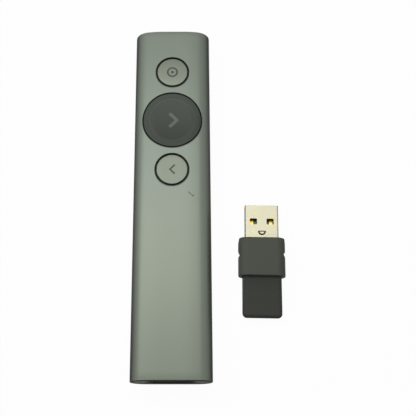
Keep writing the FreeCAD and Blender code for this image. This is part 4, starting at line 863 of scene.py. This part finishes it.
class CLICKER_OT_sleeve(bpy.types.Operator):
    """Build the aluminium sleeve with its closed head, open tail and three rounded button holes"""

    bl_idname = "clicker.sleeve"
    bl_label = "Sleeve"

    def execute(self, context):
        sizes = context.scene.clicker_sizes
        holes = [Hole(name, sizes) for name in BUTTONS]
        tail, head = SLEEVE_LOW.y, SLEEVE_HIGH.y
        shape = bmesh.new()
        turns = [math.pi / 2 * step / EDGE_STEPS for step in range(EDGE_STEPS + 1)]
        head_in, tail_in, bore_in = [
            [(radius * (1 - math.cos(turn)), radius * math.sin(turn)) for turn in turns]
            for radius in (sizes.head_round, sizes.tail_round, sizes.bore_round)
        ]

        # Tail: from the outer skin round its end to the bore, in the third finish, the bay's dark colour as
        # painted shade
        rows = [ring(shape, bar_section(inset), tail + sizes.tail_round - back) for inset, back in tail_in]
        for inset, back in reversed(bore_in):
            section = bar_section(sizes.sleeve_wall - inset)
            rows.append(ring(shape, section, tail + sizes.bore_round - back))
        join_rows(shape, rows, finish=2)

        # Head: its rounded outer end, closed, and the bore's flat inner end
        rows = [ring(shape, bar_section(inset), head - sizes.head_round + back) for inset, back in head_in]
        join_rows(shape, rows)
        shape.faces.new(rows[-1])
        shape.faces.new(ring(shape, bar_section(sizes.sleeve_wall), head - sizes.head_wall))

        # Skins, outer and inner, with the holes between them
        for inset, low, high in (
            (0.0, tail + sizes.tail_round, head - sizes.head_round),
            (sizes.sleeve_wall, tail + sizes.bore_round, head - sizes.head_wall),
        ):
            stretch(shape, inset, spread(low, holes[0].low, TAIL_STEPS))
            stretch(shape, inset, spread(holes[-1].high, high, HEAD_STEPS))
            for hole in holes:
                stretch(shape, inset, hole.stations(), hole.skip)
        for hole in holes:
            hole.cut(shape, sizes)
        colours = context.scene.clicker_colours
        finish = anodised("Anodised sleeve", colours.sleeve, colours.sleeve_head, sizes, holes, SCUFFS)
        # The holes' aluminium walls are painted near-black, as painted shade in the gaps
        hole_wall_painted_shade = moulded("Hole black", colours.inside, 0.7)
        # The sleeve's aluminium tail end in the bay's dark plastic colour: painted shade
        tail_end_painted_shade = moulded("Tail edge", colours.bay, 0.6, 0.006, 0.0, 0.2)
        item = finished("sleeve.fine", shape, finish, hole_wall_painted_shade, tail_end_painted_shade)
        settled(item, "clicker", "sleeve_aluminium", "housing_sleeve")
        return {"FINISHED"}


def cap_profile(name, sizes):
    """The hidden part and rounded edge of a cap as (reach, follow, height), from its stem to its face."""
    low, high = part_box(name + "_cap")
    gap = sizes.large_gap if name == "next" else sizes.small_gap
    lip = (high.x - low.x) / 2
    face = SLEEVE_HIGH.z - sizes.cap_recess
    radius = lip - sizes.cap_lip - gap
    plate = face - sizes.cap_plate - (sizes.dish if name == "next" else 0.0)
    skirt = crown_z(lip, sizes.sleeve_wall) - sizes.lip_gap - sizes.lip_thickness
    lip_top = SLEEVE_HIGH.z - sizes.sleeve_wall - sizes.lip_gap
    inner = radius - sizes.skirt_wall
    points = [
        (0.0, 0, low.z), (sizes.stem / 2, 0, low.z), (sizes.stem / 2, 0, plate), (inner, 0, plate),
        (inner, 0, skirt), (lip, 0, skirt), (lip, 1, lip_top), (radius, 1, lip_top),
    ]
    for step in range(EDGE_STEPS + 2):
        turn = math.pi / 2 * step / (EDGE_STEPS + 1)
        reach = radius - sizes.cap_round * (1 - math.cos(turn))
        points.append((reach, 1, face - sizes.cap_round * (1 - math.sin(turn))))
    return points, radius, face


def turned(name, points, centre_y, tree, finish):
    """Turn a profile into a cap; the profile's Y is how much it follows the crown."""
    mesh = bpy.data.meshes.new(name)
    mesh.from_pydata(points, [], [])
    item = placed(name, mesh)
    cooked(
        item, tree, Steps=TURN_STEPS, Axis=(0.0, centre_y, 0.0), Flat_half=CROWN_FLAT_HALF,
        Crown_middle=CROWN_MIDDLE_Z, Crown_radius=CROWN_RADIUS, Shoulder=(SHOULDER_X, 0.0, MIDDLE_Z),
        Shoulder_radius=SHOULDER_RADIUS, Finish=finish,
    )
    shape = bmesh.new()
    shape.from_mesh(item.data)
    bpy.data.objects.remove(item)
    return shape


class Dish:
    """The large button's shallow round hollow, which meets its rim softly."""

    def __init__(self, radius, face, sizes):
        self.reach = radius - sizes.rim
        self.outer = radius - sizes.cap_round
        self.ball = (self.reach ** 2 + sizes.dish ** 2) / (2 * sizes.dish)
        self.depth = sizes.dish
        self.face = face
        self.softness = sizes.dish_softness

    def height(self, reach):
        """Height of the face at a reach from the button's middle."""
        floor = self.face - self.depth + self.ball - math.sqrt(self.ball * self.ball - reach * reach)
        gap = self.face - floor
        return (self.face + floor - math.sqrt(gap * gap + self.softness ** 2)) / 2

    def profile(self):
        """The face from its edge to its middle; only its outer part follows the crown."""
        points = []
        for step in range(1, DISH_STEPS + 1):
            reach = self.outer * (1 - step / DISH_STEPS)
            follow = (reach - self.reach * 0.8) / (self.reach * 0.2)
            follow = min(max(follow, 0.0), 1.0)
            points.append((reach, follow, self.height(reach)))
        return points


def grooved_face(face, sizes):
    """The highlight button's face, with the grooves that its ring and dot lie in."""
    low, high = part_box("highlight_icon")
    outer = (high.x - low.x) / 2
    inner = outer - sizes.ring_stroke
    dot = sizes.dot / 2
    floor = face - sizes.mark_depth
    groove = [(outer, 1, face), (outer, 1, floor), (inner, 1, floor), (inner, 1, face)]
    return groove + [(dot, 1, face), (dot, 1, floor), (0.0, 1, floor)]


class CLICKER_OT_caps(bpy.types.Operator):
    """Turn the three press caps and lay their marks"""

    bl_idname = "clicker.caps"
    bl_label = "Press caps"

    def execute(self, context):
        sizes, colours = context.scene.clicker_sizes, context.scene.clicker_colours
        tree = turned_recipe()
        metal = anodised("Anodised cap", colours.cap, colours.cap, sizes)
        low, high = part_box("next_cap")
        dish_edge = (high.x - low.x) / 2 - sizes.cap_lip - sizes.large_gap - sizes.rim
        # Painted highlight on a thin ring at the dish's edge, and painted light that grows towards the
        # pointing end
        painted_highlight_ring = ((low.y + high.y) / 2, dish_edge, 0.35 * MM, 0.35)
        painted_light_fade = (low.y, high.y, 0.9, 1.32)
        soft = moulded("Soft touch", colours.soft_touch, 0.42, 0.008, 0.03, 0.25, painted_highlight_ring, painted_light_fade)
        inside = moulded("Skirt black", colours.inside, 0.7)
        dark = printed("Dark mark", colours.dark_mark)
        light = printed("Light mark", colours.light_mark)
        for name in BUTTONS:
            points, radius, face = cap_profile(name, sizes)
            dish = Dish(radius, face, sizes)
            low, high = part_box(name + "_cap")
            centre_y = (low.y + high.y) / 2
            finish, slot = metal, "cap_aluminium"
            if name == "next":
                points += dish.profile()
                finish, slot = soft, "soft_touch_black"
            elif name == "highlight":
                points += grooved_face(face, sizes)
            else:
                points += [(radius * part, 1, face) for part in (0.8, 0.5, 0.2, 0.0)]
            shape = turned(name + ".cap.profile", points, centre_y, tree, finish)
            for spot in shape.faces:
                centre = spot.calc_center_median()
                # Black below the face: the hidden skirt as black plastic, and the cap's side wall in the
                # gap as painted shade
                below = crown_z(centre.x) - sizes.cap_recess - centre.z
                at_side = math.hypot(centre.x, centre.y - centre_y) > radius * WALL_SHARE
                spot.material_index = int(below > sizes.cap_plate or at_side and below > sizes.cap_round)
            item = finished(name + ".cap", shape, finish, inside)
            settled(item, name + "_button", slot, name + "_cap")
            if name == "next":
                mark = arrow_print(
                    "next.arrow", "next_icon", sizes.next_stroke, 1,
                    lambda x, y: dish.height(math.hypot(x, y - centre_y)), sizes.mark_rise, light,
                )
                settled(mark, "next_button", "icon_light", "next_icon")
            elif name == "back":
                mark = arrow_print(
                    "back.arrow", "back_icon", sizes.back_stroke, -1,
                    lambda x, y: face, sizes.mark_rise, dark,
                )
                settled(mark, "back_button", "icon_dark", "back_icon")
            else:
                recast("highlight_icon", dark, "highlight_button", "icon_dark")
        return {"FINISHED"}


class CLICKER_OT_bay(bpy.types.Operator):
    """Dress the bay in the tail with its latch strips and charging port"""

    bl_idname = "clicker.bay"
    bl_label = "Bay and port"

    def execute(self, context):
        colours = context.scene.clicker_colours
        bay = moulded("Bay plastic", colours.bay, 0.6, 0.006, 0.0, 0.2)
        steel = plated("Spring steel", colours.tin, 0.25)
        stamped = plated("Stamped steel", colours.tin, 0.32, (0.05, 1, 1))
        plastic = moulded("Port plastic", colours.inside, 0.5)
        recast("receiver_bay", bay, "clicker", "bay_plastic")
        recast("latch_strips", steel, "clicker", "spring_steel")
        recast("charging_port_shell", stamped, "clicker", "stamped_steel")
        recast("charging_port_insulator", plastic, "clicker", "plug_plastic")
        return {"FINISHED"}


def rounded_block(low, high, edge):
    """A block with rounded edges, from its two corners."""
    shape = bmesh.new()
    size = high - low
    matrix = Matrix.Translation((low + high) / 2) @ Matrix.Diagonal((*size, 1))
    bmesh.ops.create_cube(shape, size=1, matrix=matrix)
    bmesh.ops.bevel(
        shape, geom=shape.edges[:], offset=edge, offset_type="OFFSET", segments=2, profile=0.5,
        affect="EDGES",
    )
    return shape


def copied(name, shape, tree, finish, counts, pitch):
    """Repeat one small shape in rows and keep the plain mesh."""
    item = finished(name, shape, finish)
    columns, rows, layers = counts
    cooked(item, tree, Columns=columns, Rows=rows, Layers=layers, Pitch=pitch, Finish=finish)
    return softened(item)


class CLICKER_OT_electronics(bpy.types.Operator):
    """Dress the board, the switches, the battery and the motor inside the sleeve"""

    bl_idname = "clicker.electronics"
    bl_label = "Electronics"

    def execute(self, context):
        colours = context.scene.clicker_colours
        rows = rows_recipe()
        board = solder_mask("Main board mask", colours.board)
        chip = chip_package("Chip package")
        steel = plated("Switch steel", colours.tin, 0.26)
        stamped = plated("Tinned steel", colours.tin, 0.34, (0.05, 1, 1))
        gold = plated("Gold", colours.gold, 0.22)
        black = moulded("Switch plastic", tone(40, 41, 42), 0.45)
        tray = moulded("Chassis plastic", tone(48, 49, 50), 0.6, 0.01)
        foil = pouch_foil("Pouch foil", colours.foil)
        pad = foam("Foam pad")
        lead = insulation("Lead", colours.lead)
        nylon = moulded("Nylon", colours.nylon, 0.4, 0.004)
        plan = {
            "main_board": board, "radio_chip": chip, "motion_sensor": chip, "charger_chip": chip,
            "chassis": tray, "battery_pad": pad, "motor_pad": pad,
        }
        for node, finish in plan.items():
            painted(node, finish)
        recasts = {
            "radio_shield": (stamped, "stamped_steel"), "antenna": (stamped, "stamped_steel"),
            "vibration_motor": (stamped, "stamped_steel"), "battery_cell": (foil, "battery_foil"),
            "battery_leads": (lead, "lead_insulation"), "motor_leads": (lead, "lead_insulation"),
            "battery_socket": (nylon, "connector_plastic"),
        }
        for name in BUTTONS:
            recasts[name + "_switch_base"] = (black, "switch_plastic")
            recasts[name + "_switch_cover"] = (steel, "stamped_steel")
            recasts[name + "_switch_plunger"] = (black, "switch_plastic")
            painted(name + "_switch_dome", steel)
        for node, (finish, slot) in recasts.items():
            body = node.replace("_switch_plunger", "_button") if node.endswith("_plunger") else "clicker"
            recast(node, finish, body, slot)
        self.contacts(rows, gold)
        self.screws(rows, stamped)
        self.terminals(rows, stamped)
        return {"FINISHED"}

    def contacts(self, rows, finish):
        """Gold strips on both faces of the port's tongue."""
        low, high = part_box("charging_port_contacts")
        width, thickness, pitch = 0.26 * MM, 0.05 * MM, 0.5 * MM
        shape = rounded_block(low, Vector((low.x + width, high.y, low.z + thickness)), 0.015 * MM)
        count = round((high.x - low.x - width) / pitch) + 1
        item = copied(
            "port.contacts", shape, rows, finish, (count, 1, 2), (pitch, 0.0, high.z - low.z - thickness),
        )
        settled(item, "clicker", "contact_gold", "charging_port_contacts")

    def screws(self, rows, finish):
        """Four pan-head screws with a round recess and a thread."""
        low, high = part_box("board_screws")
        head, shank, socket, depth = 1.15 * MM, 0.65 * MM, 0.8 * MM, 0.3 * MM
        head_low = high.z - 0.7 * MM
        centre = Vector((low.x + head, low.y + head, 0))
        profile = [(0, high.z - depth), (socket / 2, high.z - depth), (socket / 2, high.z)]
        profile += [(head * 0.72, high.z), (head * 0.93, high.z - 0.12 * MM), (head, high.z - 0.35 * MM)]
        profile += [(head, head_low), (shank, head_low)]
        thread, turn_z = 0.3 * MM, head_low
        while turn_z - thread > low.z + 0.2 * MM:
            profile += [(shank, turn_z - 0.08 * MM), (shank * 0.82, turn_z - 0.2 * MM)]
            turn_z -= thread
        profile += [(shank * 0.7, low.z + 0.1 * MM), (0, low.z)]
        shape = lathe(profile, centre, SCREW_STEPS)
        pitch = (high.x - low.x - 2 * head, high.y - low.y - 2 * head, 0.0)
        item = copied("board.screws", shape, rows, finish, (2, 2, 1), pitch)
        settled(item, "clicker", "stamped_steel", "board_screws")

    def terminals(self, rows, finish):
        """Four soldered feet at each of the three switches."""
        low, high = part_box("switch_terminals")
        reach, width = 0.8 * MM, 0.5 * MM
        bases = [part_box(name + "_switch_base") for name in BUTTONS]
        shape = rounded_block(low, Vector((low.x + reach, low.y + width, high.z)), 0.04 * MM)
        apart = bases[0][0].y + bases[0][1].y - 2 * low.y - width
        pitch = (high.x - low.x - reach, apart, 0.0)
        item = copied("switch.terminals", shape, rows, finish, (2, 2, 1), pitch)
        pitch = (0.0, bases[1][0].y - bases[0][0].y, 0.0)
        softened(cooked(item, rows, Columns=1, Rows=len(BUTTONS), Layers=1, Pitch=pitch, Finish=finish))
        settled(item, "clicker", "stamped_steel", "switch_terminals")


def lathe(profile, centre, steps):
    """Turn a closed profile of (reach, height) about an upright axis."""
    shape = bmesh.new()
    rows = []
    for step in range(steps):
        turn = math.tau * step / steps
        x, y = math.cos(turn), math.sin(turn)
        spots = [(centre.x + reach * x, centre.y + reach * y, height) for reach, height in profile]
        rows.append([shape.verts.new(spot) for spot in spots])
    join_rows(shape, rows + rows[:1], closed=False)
    return shape


class CLICKER_OT_receiver(bpy.types.Operator):
    """Dress the plug-in receiver that lies beside the clicker"""

    bl_idname = "clicker.receiver"
    bl_label = "Receiver"

    def execute(self, context):
        colours = context.scene.clicker_colours
        tab_low, tab_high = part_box("pull_tab")
        soft = moulded("Receiver plastic", colours.receiver, 0.62, 0.006, 0.0, 0.15)
        # Painted light on the pull tab: lighter near the receiver's body, darker towards its end
        painted_light_fade = (tab_low.y, tab_high.y, 0.75, 1.3)
        tab = moulded("Tab plastic", colours.tab, 0.62, 0.006, 0.0, 0.15, painted_light_fade=painted_light_fade)
        nickel = plug_nickel("Plug nickel", colours.plug)
        gold = plated("Plug gold", colours.gold, 0.3, metallic=0.7)
        board = solder_mask("Receiver board mask", colours.board)
        black = moulded("Plug plastic", colours.inside, 0.5)
        stamped = plated("Crystal can", colours.tin, 0.3)
        recast("receiver_housing", soft, "receiver", "receiver_plastic")
        recast("pull_tab", tab, "receiver", "receiver_plastic")
        recast("plug_shell", nickel, "receiver", "plug_steel")
        recast("plug_tray", black, "receiver", "plug_plastic")
        painted("receiver_board", board)
        painted("plug_contacts", gold)
        painted("receiver_chip", chip_package("Receiver chip"))
        painted("receiver_crystal", stamped)
        return {"FINISHED"}


class CLICKER_OT_stage(bpy.types.Operator):
    """Set up the pale floor, the soft light and the camera"""

    bl_idname = "clicker.stage"
    bl_label = "Stage"

    def execute(self, context):
        stage = context.scene.clicker_stage
        scene = context.scene
        scene.view_settings.view_transform = "Standard"
        self.floor(stage)
        self.room(stage)
        self.softbox(stage)
        self.camera(stage)
        return {"FINISHED"}

    def floor(self, stage):
        """A large plain floor that cameras, metal and glass see white, under the object's faint shadow."""
        shape = bmesh.new()
        bmesh.ops.create_grid(shape, x_segments=1, y_segments=1, size=FLOOR_REACH)
        finish = Finish("Pale floor")
        seen = self.seen(finish)
        cloud = finish.noise(40, 2.0) * 0.01 + 0.99
        dim = finish.shaded(stage.floor, stage.floor_bounce)
        body = finish.blend(seen, dim, finish.shaded(stage.floor, cloud))
        lit = finish.node("ShaderNodeBsdfDiffuse", {}, {"Color": body})
        white = finish.node("ShaderNodeEmission", {}, {"Color": (1, 1, 1, 1), "Strength": 1.0})
        mixed = finish.node("ShaderNodeMixShader", {}, {0: seen * stage.floor_white, 1: lit, 2: white})
        finish.node("ShaderNodeOutputMaterial", {}, {"Surface": mixed})
        item = finished("floor", shape, finish.material)
        item.location = (0, 0, CAD_BOX[0].z - FLOOR_GAP)

    def seen(self, net):
        """1 for the rays of the camera, of reflections and through glass, otherwise 0."""
        total = 0.0
        for ray in ("Is Camera Ray", "Is Glossy Ray", "Is Transmission Ray"):
            total = net.node("ShaderNodeLightPath", {}, {}, ray) + total
        return total.math("MINIMUM", 1.0)

    def room(self, stage):
        """A white room that lights the object only a little."""
        world = bpy.data.worlds.new("White room")
        world.use_nodes = True
        bpy.context.scene.world = world
        net = Net(world.node_tree)
        net.tree.nodes.clear()
        seen = self.seen(net)
        strength = stage.ambient + seen * (1 - stage.ambient)
        light = net.node("ShaderNodeBackground", {}, {"Color": (1, 1, 1, 1), "Strength": strength})
        net.node("ShaderNodeOutputWorld", {}, {"Surface": light})

    def softbox(self, stage):
        """One soft light above, a little to the left and towards the head."""
        light = bpy.data.lights.new("Softbox", "AREA")
        light.shape = "RECTANGLE"
        light.size = stage.key_across
        light.size_y = stage.key_along
        light.energy = stage.key_power
        item = placed("Softbox", light)
        lean = Matrix.Rotation(-stage.key_forward, 4, "X") @ Matrix.Rotation(-stage.key_left, 4, "Y")
        item.matrix_world = lean @ Matrix.Translation((0, 0, stage.key_distance))

    def camera(self, stage):
        """The photograph's own point of view."""
        data = bpy.data.cameras.new("Camera")
        data.sensor_width = 36
        data.lens = stage.lens
        data.shift_x = stage.camera_shift
        data.clip_start = 0.01
        item = placed("Camera", data)
        turn = Matrix.Rotation(stage.camera_pan, 4, "Y") @ Matrix.Rotation(stage.camera_tilt, 4, "X")
        turn = turn @ Matrix.Rotation(stage.camera_roll, 4, "Z")
        place = Matrix.Translation((stage.camera_x, stage.camera_y, stage.camera_z))
        item.matrix_world = place @ turn
        bpy.context.scene.camera = item


class CLICKER_PT_panel(bpy.types.Panel):
    """The steps that build the clicker, in order"""

    bl_idname = "CLICKER_PT_panel"
    bl_label = "Presentation Clicker"
    bl_space_type = "VIEW_3D"
    bl_region_type = "UI"
    bl_category = "Clicker"

    def draw(self, context):
        for step in STEPS:
            self.layout.operator(step.bl_idname)


GROUPS = {"clicker_sizes": ClickerSizes, "clicker_colours": ClickerColours, "clicker_stage": ClickerStage}
STEPS = (
    CLICKER_OT_sleeve, CLICKER_OT_caps, CLICKER_OT_bay, CLICKER_OT_electronics, CLICKER_OT_receiver,
    CLICKER_OT_stage,
)


def register():
    for item in (*GROUPS.values(), *STEPS, CLICKER_PT_panel):
        bpy.utils.register_class(item)
    for name, group in GROUPS.items():
        setattr(bpy.types.Scene, name, bpy.props.PointerProperty(type=group))


def unregister():
    for name in GROUPS:
        delattr(bpy.types.Scene, name)
    for item in reversed((*GROUPS.values(), *STEPS, CLICKER_PT_panel)):
        bpy.utils.unregister_class(item)


def main():
    register()
    for step in STEPS:
        prefix, name = step.bl_idname.split(".")
        getattr(getattr(bpy.ops, prefix), name)()


if __name__ == "__main__":
    main()
